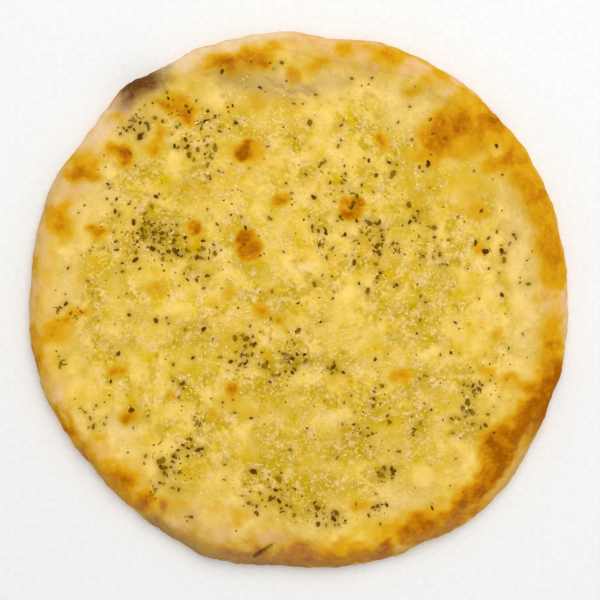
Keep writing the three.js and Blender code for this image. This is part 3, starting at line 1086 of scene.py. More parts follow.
    def granular(self, plan: Array) -> Array:
        """Where the grated cheese stayed grainy.

        Args:
            plan: Places in the part's frame, one row each.

        Returns:
            A number for each place.
        """
        inland = self.grainy_radius - np.hypot(*plan.T) + self.grainy_wander.at(plan)
        grainy = ease(inland / self.grainy_fade) * ease(self.grainy_share + self.grainy_gaps.at(plan))
        for spot in SMOOTH_PLACES + OIL_TROUGHS:
            grainy *= 1 - spot.cover(plan, self.smooth_edge)
        return grainy

    def grain_show(self, plan: Array) -> Array:
        """How much the grains show: a little everywhere, and most where it is grainy."""
        return self.least_grainy + (1 - self.least_grainy) * self.granular(plan)

    def grains(self, plan: Array) -> tuple[Array, Array]:
        """The grains that crowd the cheese.

        Args:
            plan: Places in the part's frame, one row each.

        Returns:
            How high each place stands on its grain, and a number for that grain.
        """
        moves = [Noise.smooth(plan, self.jostle_pitch, seed) for seed in self.jostle_seeds]
        jostled = plan + self.jostle * np.stack(moves, axis=1)
        off, kind = Noise.crumbs(jostled, self.grain_pitch, self.grain_seed)
        return ease(self.grain_top - self.grain_fall * off), kind

    def clumps(self, plan: Array) -> Array:
        """Where grated cheese lies thick."""
        crowd = ease(self.clump_share + self.clump_crowds.at(plan))
        return crowd * (self.least_clumped + (1 - self.least_clumped) * self.granular(plan))

    def oil(self, plan: Array) -> Array:
        """Where oil soaked the cheese olive-yellow, round blisters and most of all between grains.

        Args:
            plan: Places in the part's frame, one row each.

        Returns:
            A number for each place.
        """
        moved = self.warped(plan, self.smear_warp)
        bare = np.ones(len(plan))
        for pool in OIL_POOLS:
            bare *= 1 - pool.cover(moved, self.pool_edge)
        for spot in TOASTED_BLISTERS + CHEESE_SMEARS:
            pool = replace(spot, wide=self.halo * spot.wide, deep=self.halo * spot.deep)
            bare *= 1 - pool.cover(moved, self.smear_edge)
        drift = self.oil_share + self.oil_drift.at(plan)
        soaked = 1 - bare * (1 - self.drift_strength * ease(drift))
        for spot in DRY_PLACES:
            soaked *= 1 - spot.cover(moved, self.pool_edge)
        high, _ = self.grains(plan)
        grainy = self.granular(plan)
        held = self.oil_on_smooth + (1 - self.oil_on_smooth) * grainy
        soaked *= held * (self.oil_between_grains - self.oil_shed_by_grains * high * grainy)
        standing = np.max([spot.cover(moved, self.pool_edge) for spot in OIL_TROUGHS], axis=0)
        return np.clip(np.maximum(soaked, standing), 0, 1)

    def cream(self, plan: Array) -> Array:
        """Where pale cheese shows: in clumps of grains, and where it lies smooth by the rim.

        Args:
            plan: Places in the part's frame, one row each.

        Returns:
            A number for each place.
        """
        high, kind = self.grains(plan)
        lone = ease((kind - self.single_from) / self.single_run)
        single = self.single_strength * self.granular(plan) * lone
        picked = ease((kind - self.clumped_from) / self.clumped_run)
        clumped = self.clumps(plan) * (self.least_clump_cream + (1 - self.least_clump_cream) * picked)
        topped = np.maximum(clumped, single) * (self.least_cream + (1 - self.least_cream) * high)
        smooth = self.pale_strength * bell((np.hypot(*plan.T) - self.pale_radius) / self.pale_spread)
        moved = self.warped(plan, self.smear_warp)
        smooth += sum(spot.cover(moved, self.smooth_edge) for spot in SMOOTH_PLACES)
        return np.maximum(topped, self.smooth_strength * np.clip(smooth, 0, 1))

    def folds(self, plan: Array) -> Array:
        """How deep the cheese is folded, in mm."""
        moved = self.warped(plan, self.smear_warp)
        return sum(fold.depth * fold.cover(moved) for fold in FOLDS)

    def painted_shade(self, angle: Array, inset: Array, plan: Array, warp: Array) -> Array:
        """Where painted shade greys it: stretches of the rim away from the light, and the folds behind it.
        """
        folded = np.clip(self.fold_painted_shade * self.folds(plan), 0, self.fold_limit)
        return np.maximum(self.stretches(PAINTED_SHADE_ARCS, angle, inset, self.painted_shade_warp * warp), folded)

    def stain(self, plan: Array) -> Array:
        """Where the oregano darkened the cheese round it.

        Args:
            plan: Places in the part's frame, one row each.

        Returns:
            A number for each place.
        """
        clear = np.ones(len(plan))
        for flake in LARGE_FLAKES.flakes(self.loaf) + SMALL_FLAKES.flakes(self.loaf):
            spot = self.loaf.place(np.array(flake.angle), np.array(flake.radius), np.array(0.0))
            reach = self.stain_reach * (self.stain_start + self.stain_growth * flake.length)
            near = np.flatnonzero(np.abs(plan - spot[:2]).max(axis=1) < self.stain_end * reach)
            off = np.hypot(*(plan[near] - spot[:2]).T)
            clear[near] *= 1 - self.stain_strength * bell(off / reach)
        return self.deepest_stain * (1 - clear ** (1 / self.deepest_stain))

    def flour(self, angle: Array, inset: Array, points: Array, warp: Array) -> Array:
        """Where the dough stayed pale and floury."""
        floury = self.stretches(FLOUR_ARCS, angle, inset, warp)
        return np.clip(floury * (1 + self.flour_dust.at(points)), 0, 1)


# Meshes from rings of points


@dataclass
class Skin:
    """A closed skin over rings of points that run from one end point to the other."""

    rings: list[Array]

    def points(self) -> Array:
        """All the rings' points, one row each."""
        return np.concatenate(self.rings)

    def triangles(self) -> Array:
        """Triangles from each ring to the next.

        Returns:
            Three point numbers for each triangle.
        """
        counts = [len(ring) for ring in self.rings]
        starts = np.cumsum([0, *counts])
        pairs = range(len(counts) - 1)
        return np.concatenate([self.band(*counts[at : at + 2], *starts[at : at + 2]) for at in pairs])

    @staticmethod
    def band(first: int, second: int, first_start: int, second_start: int) -> Array:
        """Triangles between two rings.

        Args:
            first: How many points the first ring has.
            second: How many points the second ring has.
            first_start: The number of the first ring's first point.
            second_start: The number of the second ring's first point.

        Returns:
            Three point numbers for each triangle.
        """
        near = np.arange(0 if first == 1 else first)
        far = np.arange(0 if second == 1 else second)
        lead = far * len(near) // max(len(far), 1) % first
        meet = -(-(near + 1) * len(far) // max(len(near), 1)) % second
        fans = [first_start + lead, second_start + far, second_start + (far + 1) % second]
        backs = [first_start + near, second_start + meet, first_start + (near + 1) % first]
        return np.concatenate([np.stack(fans, axis=1), np.stack(backs, axis=1)])


def lean(points: Array, triangles: Array) -> Array:
    """The outward direction at each point of a closed skin.

    Args:
        points: Points, one row each.
        triangles: Three point numbers for each triangle.

    Returns:
        A unit vector for each point.
    """
    a, b, c = (points[triangles[:, corner]] for corner in range(3))
    faces = np.cross(b - a, c - a)
    total = np.zeros_like(points)
    for corner, axis in product(range(3), repeat=2):
        total[:, axis] += np.bincount(triangles[:, corner], faces[:, axis], len(points))
    return total / np.maximum(np.linalg.norm(total, axis=1, keepdims=True), NO_LENGTH)


def add_mesh(name: str, points: Array, triangles: Array, marks: dict[Mark, Array]) -> bpy.types.Object:
    """A smooth mesh object in the scene.

    Args:
        name: The piece's name.
        points: Points in mm, one row each.
        triangles: Three point numbers for each triangle.
        marks: A number for each mark at each point.

    Returns:
        The new object.
    """
    mesh = bpy.data.meshes.new(name)
    mesh.vertices.add(len(points))
    mesh.vertices.foreach_set("co", (points * MM).astype(np.float32).ravel())
    mesh.loops.add(3 * len(triangles))
    mesh.loops.foreach_set("vertex_index", triangles.astype(np.int32).ravel())
    mesh.polygons.add(len(triangles))
    mesh.polygons.foreach_set("loop_start", np.arange(len(triangles), dtype=np.int32) * 3)
    mesh.update(calc_edges=True)
    mesh.validate()
    mesh.shade_smooth()
    for mark, values in marks.items():
        layer = mesh.attributes.new(mark.value, "FLOAT", "POINT")
        layer.data.foreach_set("value", values.astype(np.float32))
    piece = bpy.data.objects.new(name, mesh)
    bpy.context.scene.collection.objects.link(piece)
    return piece


def settle(
    piece: bpy.types.Object, material: bpy.types.Material, node: str
) -> bpy.types.Object:
    """Gives a piece its finish, and its place in the part.

    Args:
        piece: The new piece.
        material: Its finish.
        node: The solid that it stands for.

    Returns:
        The same piece.
    """
    piece.data.materials.append(material)
    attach(piece, BODY)
    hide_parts(node)
    return piece


# Finishes

# The stretch that nearly all of Blender's noise lies in, and how many finer sizes it has
NOISE_SPAN = (0.32, 0.68)
NOISE_DETAIL = 3
# Sockets of Blender's mix node for colours, which have the same names as its sockets for numbers
MIX_SHARE = 0
MIX_UNDER = 6
MIX_OVER = 7
MIX_RESULT = 2


def linear(hex_colour: str) -> Colour:
    """An sRGB hex colour as linear light.

    Args:
        hex_colour: A hash sign and six digits.

    Returns:
        Red, green, blue and an alpha of 1.
    """
    parts = [int(hex_colour[index : index + 2], 16) / 255 for index in (1, 3, 5)]
    red, green, blue = (p / 12.92 if p <= 0.04045 else ((p + 0.055) / 1.055) ** 2.4 for p in parts)
    return red, green, blue, 1.0


def add(tree: Tree, kind: Kind, links: dict[Any, Any], out: Any = 0, **settings: Any) -> Socket:
    """Adds a node with its settings and links.

    Args:
        tree: The material's node tree.
        kind: Which node.
        links: For each input, by name or number, a value or the output that feeds it.
        out: The output that is wanted, by name or number.
        settings: The node's own properties.

    Returns:
        The wanted output.
    """
    node = tree.nodes.new(kind.value)
    for name, value in settings.items():
        setattr(node, name, value)
    for name, value in links.items():
        if isinstance(value, Socket):
            tree.links.new(value, node.inputs[name])
        else:
            node.inputs[name].default_value = value
    return node.outputs[out] if node.outputs else None


def uneven(tree: Tree, pitch: float, span: Span) -> Socket:
    """Unevenness over the surface.

    Args:
        tree: The material's node tree.
        pitch: The spacing of its swings in mm.
        span: The numbers that it runs between.

    Returns:
        A number at each place.
    """
    place = add(tree, Kind.PLACE, {}, "Object")
    pattern = {"Vector": place, "Scale": 1 / (pitch * MM), "Detail": NOISE_DETAIL}
    swing = {"Value": add(tree, Kind.NOISE, pattern, "Fac")}
    reach = {"From Min": NOISE_SPAN[0], "From Max": NOISE_SPAN[1], "To Min": span[0], "To Max": span[1]}
    return add(tree, Kind.RANGE, {**swing, **reach})


def coated(tree: Tree, base: Any, coats: list[Coat]) -> Socket:
    """A colour with others laid over it.

    Args:
        tree: The material's node tree.
        base: The undermost colour.
        coats: The share and the colour of each coat, in order.

    Returns:
        The colour that shows.
    """
    for share, hue in coats:
        layers = {MIX_SHARE: share, MIX_UNDER: base, MIX_OVER: hue}
        base = add(tree, Kind.MIX, layers, MIX_RESULT, data_type="RGBA")
    return base


def stepped(tree: Tree, level: Socket, steps: tuple[tuple[float, float, str], ...]) -> list[Coat]:
    """Coats that come in one after another as a level rises.

    Args:
        tree: The material's node tree.
        level: What rises.
        steps: The level where each coat begins, the level where it covers, and its hex colour.

    Returns:
        The share and the colour of each coat.
    """
    coats = []
    for low, high, hue in steps:
        share = add(tree, Kind.RANGE, {"Value": level, "From Min": low, "From Max": high})
        coats.append((share, linear(hue)))
    return coats


@dataclass(frozen=True)
class Finish:
    """What every finish has: the name of a real material, and a surface."""

    name: str

    def material(self) -> bpy.types.Material:
        """The Blender material.

        Returns:
            The new material.
        """
        made = bpy.data.materials.new(self.name)
        made.use_nodes = True
        made.node_tree.nodes.clear()
        add(made.node_tree, Kind.OUTPUT, {"Surface": self.surface(made.node_tree)})
        return made

    def surface(self, tree: Tree) -> Socket:
        """The finish's own surface."""
        raise NotImplementedError


@dataclass(frozen=True)
class BakedTop(Finish):
    """Dough and melted cheese that browned in one oven, so that one runs into the other.

    The dough is matt and peach-coloured with a blush, floury where it stayed pale, and greyed with painted
    shade on the rim's side away from the light and in the folds. The cheese is grated hard cheese that
    melted and let
    out its oil: pale yellow, olive where oil stands, creamy where grains stayed whole, with painted glints
    on the tops of its fine grain. Both toast from gold through orange-brown to dark brown.
    """

    dough: str = "#eec48a"
    blushing: str = "#e5a75c"
    floury: str = "#f1d5a6"
    # The grey of painted shade on the rim and in the folds
    painted_shade: str = "#9c7c56"
    cheese: str = "#e2b900"
    pale_cheese: str = "#fedb74"
    oily: str = "#c6a100"
    creamy: str = "#fedeac"
    # Painted glints on the tops of the cheese's fine grain
    crumbs: str = "#ffdd66"
    stained: str = "#926a00"
    golden: str = "#e2ae18"
    orange: str = "#da940c"
    brown: str = "#bc7002"
    dark: str = "#924c00"
    burnt: str = "#653a06"
    # Fat and starch both bend light like this. Flour and crumbs scatter most of the shine away.
    ior: float = 1.45
    specular: float = 0.02
    dough_roughness: float = 0.8
    cheese_roughness: float = 0.35
    # Sizes of the patterns. Pores and cheese crystals are nearer 0.3 mm, so fine_mm is coarser, to show.
    drift_mm: float = 12
    cloud_mm: float = 7
    grain_mm: float = 1.6
    fine_mm: float = 0.7
    bump_mm: float = 0.3
    bump: float = 0.35
    # How far each pattern swings
    blush: Span = (-0.3, 0.8)
    flour_grain: Span = (0.7, 1.1)
    painted_shade_grain: Span = (0.8, 1.1)
    toast_grain: Span = (0.93, 1.07)
    drift: Span = (0, 1)
    oil_grain: Span = (1.2, 0.8)
    cream_grain: Span = (0.5, 0.85)
    hollow_grain: Span = (0.25, -0.5)
    glint_grain: Span = (-1.6, 0.8)
    speckle: Span = (0.96, 1.04)
    rough_grain: Span = (-0.08, 0.1)
    grain_relief: Span = (0, 1)
    fine_relief: Span = (0, 0.5)

    def surface(self, tree: Tree) -> Socket:
        """Colour, gloss and grain from the bake's marks.

        Args:
            tree: The material's node tree.

        Returns:
            The surface.
        """
        baked_in = [mark for mark in Mark if mark is not Mark.TINT]
        marks = {mark: add(tree, Kind.ATTRIBUTE, {}, "Fac", attribute_name=mark.value) for mark in baked_in}
        speckle = uneven(tree, self.fine_mm, self.speckle)
        colour = add(tree, Kind.SHADE, {"Value": speckle, "Color": self.baked_colour(tree, marks)})
        gloss = {"Value": marks[Mark.COVER], "To Min": self.dough_roughness, "To Max": self.cheese_roughness}
        spread = uneven(tree, self.grain_mm, self.rough_grain)
        rough = add(tree, Kind.MATH, {0: add(tree, Kind.RANGE, gloss), 1: spread})
        grain = uneven(tree, self.grain_mm, self.grain_relief)
        height = add(tree, Kind.MATH, {0: grain, 1: uneven(tree, self.fine_mm, self.fine_relief)})
        relief = {"Strength": self.bump, "Distance": self.bump_mm * MM, "Height": height}
        skin = {"Base Color": colour, "Roughness": rough, "Normal": add(tree, Kind.BUMP, relief)}
        return add(tree, Kind.SURFACE, {**skin, "IOR": self.ior, "Specular IOR Level": self.specular})

    def baked_colour(self, tree: Tree, marks: dict[Mark, Socket]) -> Socket:
        """Dough under cheese under toast, with places greyed by painted shade, and burnt places that also
        paint the slit's shade.

        Args:
            tree: The material's node tree.
            marks: The bake's marks.

        Returns:
            The colour.
        """
        browns = (
            (0.02, 0.42, self.golden),
            (0.32, 0.7, self.orange),
            (0.56, 0.9, self.brown),
            (0.85, 1.15, self.dark),
        )
        coats = [
            (uneven(tree, self.cloud_mm, self.blush), linear(self.blushing)),
            (self.scaled(tree, marks[Mark.FLOUR], self.flour_grain), linear(self.floury)),
            (marks[Mark.COVER], self.cheese_colour(tree, marks)),
            *stepped(tree, self.scaled(tree, marks[Mark.TOAST], self.toast_grain), browns),
            # Painted shade, greying the rim away from the light and the folds
            (self.scaled(tree, marks[Mark.RAW], self.painted_shade_grain), linear(self.painted_shade)),
            # Burnt crust, and painted shade in the slit
            (marks[Mark.CHAR_AND_SLIT_SHADE], linear(self.burnt)),
        ]
        return coated(tree, linear(self.dough), coats)

    def cheese_colour(self, tree: Tree, marks: dict[Mark, Socket]) -> Socket:
        """Pale yellow with oily, creamy and herb-stained places, and painted glints on the tops of its fine
        grain.

        Args:
            tree: The material's node tree.
            marks: The bake's marks.

        Returns:
            The colour.
        """
        coats = [
            (uneven(tree, self.drift_mm, self.drift), linear(self.pale_cheese)),
            (self.scaled(tree, marks[Mark.OIL], self.oil_grain), linear(self.oily)),
            (self.scaled(tree, marks[Mark.CREAM], self.cream_grain), linear(self.creamy)),
            # Oil colour, darker in the hollows of the fine relief of the bump
            (self.scaled(tree, marks[Mark.GRAINY], self.hollow_grain), linear(self.oily)),
            # Painted glints, where the fine relief of the bump rises
            (self.scaled(tree, marks[Mark.GRAINY], self.glint_grain), linear(self.crumbs)),
            (marks[Mark.STAIN], linear(self.stained)),
        ]
        return coated(tree, linear(self.cheese), coats)

    def scaled(self, tree: Tree, share: Socket, span: Span) -> Socket:
        """A mark made larger and smaller grain by grain."""
        grain = uneven(tree, self.grain_mm, span)
        return add(tree, Kind.MATH, {0: share, 1: grain}, operation="MULTIPLY")


@dataclass(frozen=True)
class DriedLeaf(Finish):
    """Dried oregano: matt crumbled leaf, from dark brown to dull olive green, each flake its own shade."""

    darkest: str = "#683c02"
    middling: str = "#8a6202"
    greenest: str = "#aa840c"
    roughness: float = 0.85
    specular: float = 0.04
    # The veins are nearer 0.2 mm, and are drawn coarser to show
    vein_mm: float = 0.6
    bump_mm: float = 0.2
    bump: float = 0.7
    veining: Span = (0.75, 1.2)
    crumple: Span = (0, 1)

    def surface(self, tree: Tree) -> Socket:
        """A shade for each flake, with fine crumpled relief.

        Args:
            tree: The material's node tree.

        Returns:
            The surface.
        """
        tint = add(tree, Kind.ATTRIBUTE, {}, "Fac", attribute_name=Mark.TINT.value)
        coats = stepped(tree, tint, ((0.1, 0.5, self.middling), (0.5, 1, self.greenest)))
        colour = coated(tree, linear(self.darkest), coats)
        colour = add(tree, Kind.SHADE, {"Value": uneven(tree, self.vein_mm, self.veining), "Color": colour})
        crumple = uneven(tree, self.vein_mm, self.crumple)
        relief = {"Strength": self.bump, "Distance": self.bump_mm * MM, "Height": crumple}
        skin = {"Base Color": colour, "Roughness": self.roughness, "Normal": add(tree, Kind.BUMP, relief)}
        return add(tree, Kind.SURFACE, {**skin, "Specular IOR Level": self.specular})


@dataclass(frozen=True)
class GratedCheese(Finish):
    """Shreds of hard cheese that the oven left whole: cream-coloured and waxy, each of its own shade."""

    # Partly the shreds' own cream colour, partly painted highlight standing in for glints on wet grains
    pale: str = "#ffe084"
    deep: str = "#f8d060"
    roughness: float = 0.42
    specular: float = 0.12
    grain_mm: float = 0.5
    shading: Span = (0.92, 1.06)

    def surface(self, tree: Tree) -> Socket:
        """A shade for each shred.

        Args:
            tree: The material's node tree.

        Returns:
            The surface.
        """
        tint = add(tree, Kind.ATTRIBUTE, {}, "Fac", attribute_name=Mark.TINT.value)
        colour = coated(tree, linear(self.pale), [(tint, linear(self.deep))])
        colour = add(tree, Kind.SHADE, {"Value": uneven(tree, self.grain_mm, self.shading), "Color": colour})
        skin = {"Base Color": colour, "Roughness": self.roughness, "Specular IOR Level": self.specular}
        return add(tree, Kind.SURFACE, skin)


@dataclass(frozen=True)
class StudioPaper(Finish):
    """Matt white background paper, faintly fibrous. Its fibres are finer, and are drawn coarser to show."""

    white: str = "#fbfbfa"
    shade: str = "#f6f6f5"
    roughness: float = 0.9
    fibre_mm: float = 3
    mottle: Span = (0, 1)

    def surface(self, tree: Tree) -> Socket:
        """White with a faint mottle."""
        coats = [(uneven(tree, self.fibre_mm, self.mottle), linear(self.shade))]
        colour = coated(tree, linear(self.white), coats)
        return add(tree, Kind.SURFACE, {"Base Color": colour, "Roughness": self.roughness})


# Sub-assemblies


@dataclass
class Bread:
    """The leavened round: hidden floor, puffed rim, foot and baked base. Lengths are in mm."""

    loaf: Loaf
    bake: Bake
    steps: int = 720
    floor_rings: int = 22
    rim_rings: int = 34
    foot_rings: int = 9
    base_rings: int = 80
    tuck: float = 5
    sink: float = 0.9
    crags: Mottle = Mottle(9, 211, 0.5)
    pores: Mottle = Mottle(2.4, 223, 0.2, 2)
    smooth_below: float = 4
    # The base: where it begins, and how scorched and floury it is
    base_line: float = 3.2
    base_blend: float = 2.4
    base_toast: float = 0.06
    base_char: float = 0.5
    scorch_toast: float = 0.74
    scorch_share: float = 0.3
    scorch_patches: Mottle = Mottle(26, 227, 0.8)
    scorch_flecks: Mottle = Mottle(7, 229, 0.6)
    flour_share: float = 0.55
    flour_patches: Mottle = Mottle(15, 233, 0.6)

    def build(self) -> bpy.types.Object:
        """The bread with its marks and finish.

        Returns:
            The finished piece, standing for its solid.
        """
        skin = Skin(self.rings())
        triangles = skin.triangles()
        points = self.roughened(skin.points(), triangles)
        marks = self.bake.marks(points)
        marks.update(self.underneath(points, marks))
        piece = add_mesh("baked_bread", points, triangles, marks)
        return settle(piece, BakedTop("oven_baked_dough").material(), "bread")

    def rings(self) -> list[Array]:
        """Rings from the middle of the floor, over the rim and foot, to the middle of the base.

        Returns:
            Each ring's points, one row each.
        """
        loaf = self.loaf
        angle = np.arange(self.steps) * TURN / self.steps
        outline = loaf.outline(angle)
        tucked = loaf.shore_inset(angle) + self.tuck
        middle = np.zeros(1)
        rings = [loaf.place(middle, middle, loaf.bread_height(middle, middle) - self.sink)]
        for index in range(1, self.floor_rings):
            radius = (outline - tucked) * index / self.floor_rings
            rings.append(loaf.place(angle, radius, loaf.bread_height(angle, radius) - self.sink))
        for index in range(self.rim_rings + 1):
            inset = tucked * (1 - math.cos(TURN / 4 * (1 - index / self.rim_rings)))
            radius = outline - inset
            sunk = self.sink * ease((inset - tucked + self.tuck) / self.tuck)
            rings.append(loaf.place(angle, radius, loaf.bread_height(angle, radius) - sunk))
        for index in range(1, self.foot_rings + 1):
            turn = TURN / 4 * index / self.foot_rings
            radius = outline - loaf.foot * (1 - math.cos(turn))
            rings.append(loaf.place(angle, radius, np.full(self.steps, loaf.widest * (1 - math.sin(turn)))))
        for index in range(self.base_rings - 1, 0, -1):
            steps = self.steps * index // self.base_rings
            around = np.arange(steps) * TURN / steps
            radius = (loaf.outline(around) - loaf.foot) * index / self.base_rings
            rings.append(loaf.place(around, radius, np.zeros(steps)))
        return [*rings, loaf.place(middle, middle, middle)]

    def roughened(self, points: Array, triangles: Array) -> Array:
        """The points pushed out and in by crags, pores and slits, except on the flat base.

        Args:
            points: Points in mm in the part's frame, one row each.
            triangles: Three point numbers for each triangle.

        Returns:
            The moved points, one row each.
        """
        angle, radius = self.loaf.polar(points)
        outside = ease((radius - self.loaf.shore_radius(angle)) / self.tuck)
        rough = self.crags.at(points) + self.pores.at(points)
        slits = sum(slit.depth * slit.cover(points[:, :2]) for slit in SLITS)
        push = (rough * outside - slits) * ease(points[:, 2] / self.smooth_below)
        moved = points + lean(points, triangles) * push[:, None]
        return np.maximum(moved, [-np.inf, -np.inf, 0])

    def underneath(self, points: Array, marks: dict[Mark, Array]) -> dict[Mark, Array]:
        """The marks of the baked base: no cheese, floury dough with scorched patches off the oven floor.

        Args:
            points: Points in mm in the part's frame, one row each.
            marks: The marks that the top would leave at these points.

        Returns:
            The marks that differ near the base.
        """
        scorched = ease(self.scorch_share + self.scorch_patches.at(points) + self.scorch_flecks.at(points))
        base = {
            Mark.COVER: np.zeros(len(points)),
            Mark.TOAST: self.base_toast + self.scorch_toast * scorched,
            Mark.CHAR_AND_SLIT_SHADE: self.base_char * marks[Mark.CHAR_AND_SLIT_SHADE],
            Mark.FLOUR: np.clip(self.flour_share + self.flour_patches.at(points), 0, 1),
            Mark.RAW: np.zeros(len(points)),
        }
        below = ease((self.base_line - points[:, 2]) / self.base_blend)
        return {mark: marks[mark] * (1 - below) + values * below for mark, values in base.items()}


@dataclass
class MeltedCheese:
    """The skin of melted cheese: blisters, lumps of grated cheese, and a thin uneven shore, in mm."""

    loaf: Loaf
    bake: Bake
    rings_above: int = 174
    rings_below: int = 40
    points_a_ring: int = 6
    bedded: float = 0.6
    shore_depth: float = -0.35
    shore_run: float = 1.4
    lumps: Mottle = Mottle(8, 311, 0.18, 2)
    pits: Mottle = Mottle(1.6, 313, 0.06, 1)
    clump_height: float = 0.26
    grain_height: float = 0.22
    lowest_grain: float = 0.3

    def build(self) -> bpy.types.Object:
        """The cheese with its marks and finish.

        Returns:
            The finished piece, standing for its solid.
        """
        below = self.disc(self.rings_below, self.below)
        skin = Skin(self.disc(self.rings_above, self.above) + below[::-1])
        points = skin.points()
        piece = add_mesh("melted_cheese_skin", points, skin.triangles(), self.bake.marks(points))
        return settle(piece, BakedTop("melted_grated_cheese").material(), "melted_cheese")

    def disc(self, count: int, height: Callable[[Array, Array], Array]) -> list[Array]:
        """Rings from the middle out to the shore, as far apart as the points along them.

        Args:
            count: How many rings.
            height: Gives the height at angles and radii.

        Returns:
            The rings' points.
        """
        counts = [max(1, self.points_a_ring * index) for index in range(count + 1)]
        angle = np.concatenate([np.arange(steps) * TURN / steps for steps in counts])
        radius = self.loaf.shore_radius(angle) * np.repeat(np.arange(count + 1), counts) / count
        return np.split(self.loaf.place(angle, radius, height(angle, radius)), np.cumsum(counts)[:-1])

    def above(self, angle: Array, radius: Array) -> Array:
        """The upper face: the solid's form with lumps, grains, pits and folds, thin at the shore.

        Args:
            angle: Angles round the loaf in radians.
            radius: How far out from the middle.

        Returns:
            The height at each place.
        """
        loaf = self.loaf
        plan = loaf.place(angle, radius, radius)[:, :2]
        high, kind = self.bake.grains(plan)
        grains = self.grain_height * (self.lowest_grain + kind) * high * self.bake.grain_show(plan)
        lumps = self.lumps.at(plan) + self.clump_height * self.bake.clumps(plan)
        inland = ease((loaf.shore_radius(angle) - radius) / (self.shore_run * loaf.shore))
        full = loaf.gap + loaf.cheese_depth(angle, radius) + grains + lumps + self.pits.at(plan)
        depth = self.shore_depth * (1 - inland) + inland * (full - self.bake.folds(plan))
        return loaf.bread_height(angle, radius) + depth

    def below(self, angle: Array, radius: Array) -> Array:
        """The lower face, bedded in the bread."""
        return self.loaf.bread_height(angle, radius) - self.bedded

    def perch(self, plan: Array) -> Array:
        """Points on the upper face over places in the part's frame, one row each."""
        angle, radius = self.loaf.polar(plan)
        return self.loaf.place(angle, radius, self.above(angle, radius))


@dataclass
class Litter:
    """Many small closed things that lie on the cheese, joined into one piece. Lengths are in mm."""

    loaf: Loaf
    cheese: MeltedCheese
    slope_run: float = 1.5

    def laid(self, things: list[Array], plan: Array) -> Array:
        """The things' points, each thing set on the cheese and leant with it.

        Args:
            things: Each thing's points in mm about its own foot.
            plan: Each thing's place in the part's frame, one row each.

        Returns:
            All the points, one row each.
        """
        feet = self.cheese.perch(plan)
        rises = []
        for step in self.slope_run * np.eye(2):
            rises.append(self.cheese.perch(plan + step)[:, 2] - self.cheese.perch(plan - step)[:, 2])
        slopes = np.stack(rises, axis=1) / (2 * self.slope_run)
        placed = []
        for thing, foot, slope in zip(things, feet, slopes):
            lift = np.zeros_like(thing)
            lift[:, 2] = thing[:, :2] @ slope
            placed.append(thing + lift + foot)
        return np.concatenate(placed)

    def joined(
        self, name: str, things: list[Array], plan: Array, faces: Array, tints: list[float], finish: Finish
    ) -> bpy.types.Object:
        """One piece of all the things.

        Args:
            name: The piece's name.
            things: Each thing's points in mm about its own foot.
            plan: Each thing's place in the part's frame, one row each.
            faces: The triangles that every thing has.
            tints: A shade for each thing.
            finish: What they are made of.

        Returns:
            The finished piece, lying on the cheese.
        """
        size = len(things[0])
        triangles = np.concatenate([faces + size * index for index in range(len(things))])
        marks = {Mark.TINT: np.repeat(tints, size)}
        piece = add_mesh(name, self.laid(things, plan), triangles, marks)
        return settle(piece, finish.material(), "melted_cheese")

    @staticmethod
    def turned(points: Array, turn: float) -> Array:
        """Points turned about Z.

        Args:
            points: Points, one row each.
            turn: How far, in radians.

        Returns:
            The turned points, one row each.
        """
        x, y, z = points.T
        cos, sin = math.cos(turn), math.sin(turn)
        return np.stack([x * cos - y * sin, x * sin + y * cos, z], axis=1)


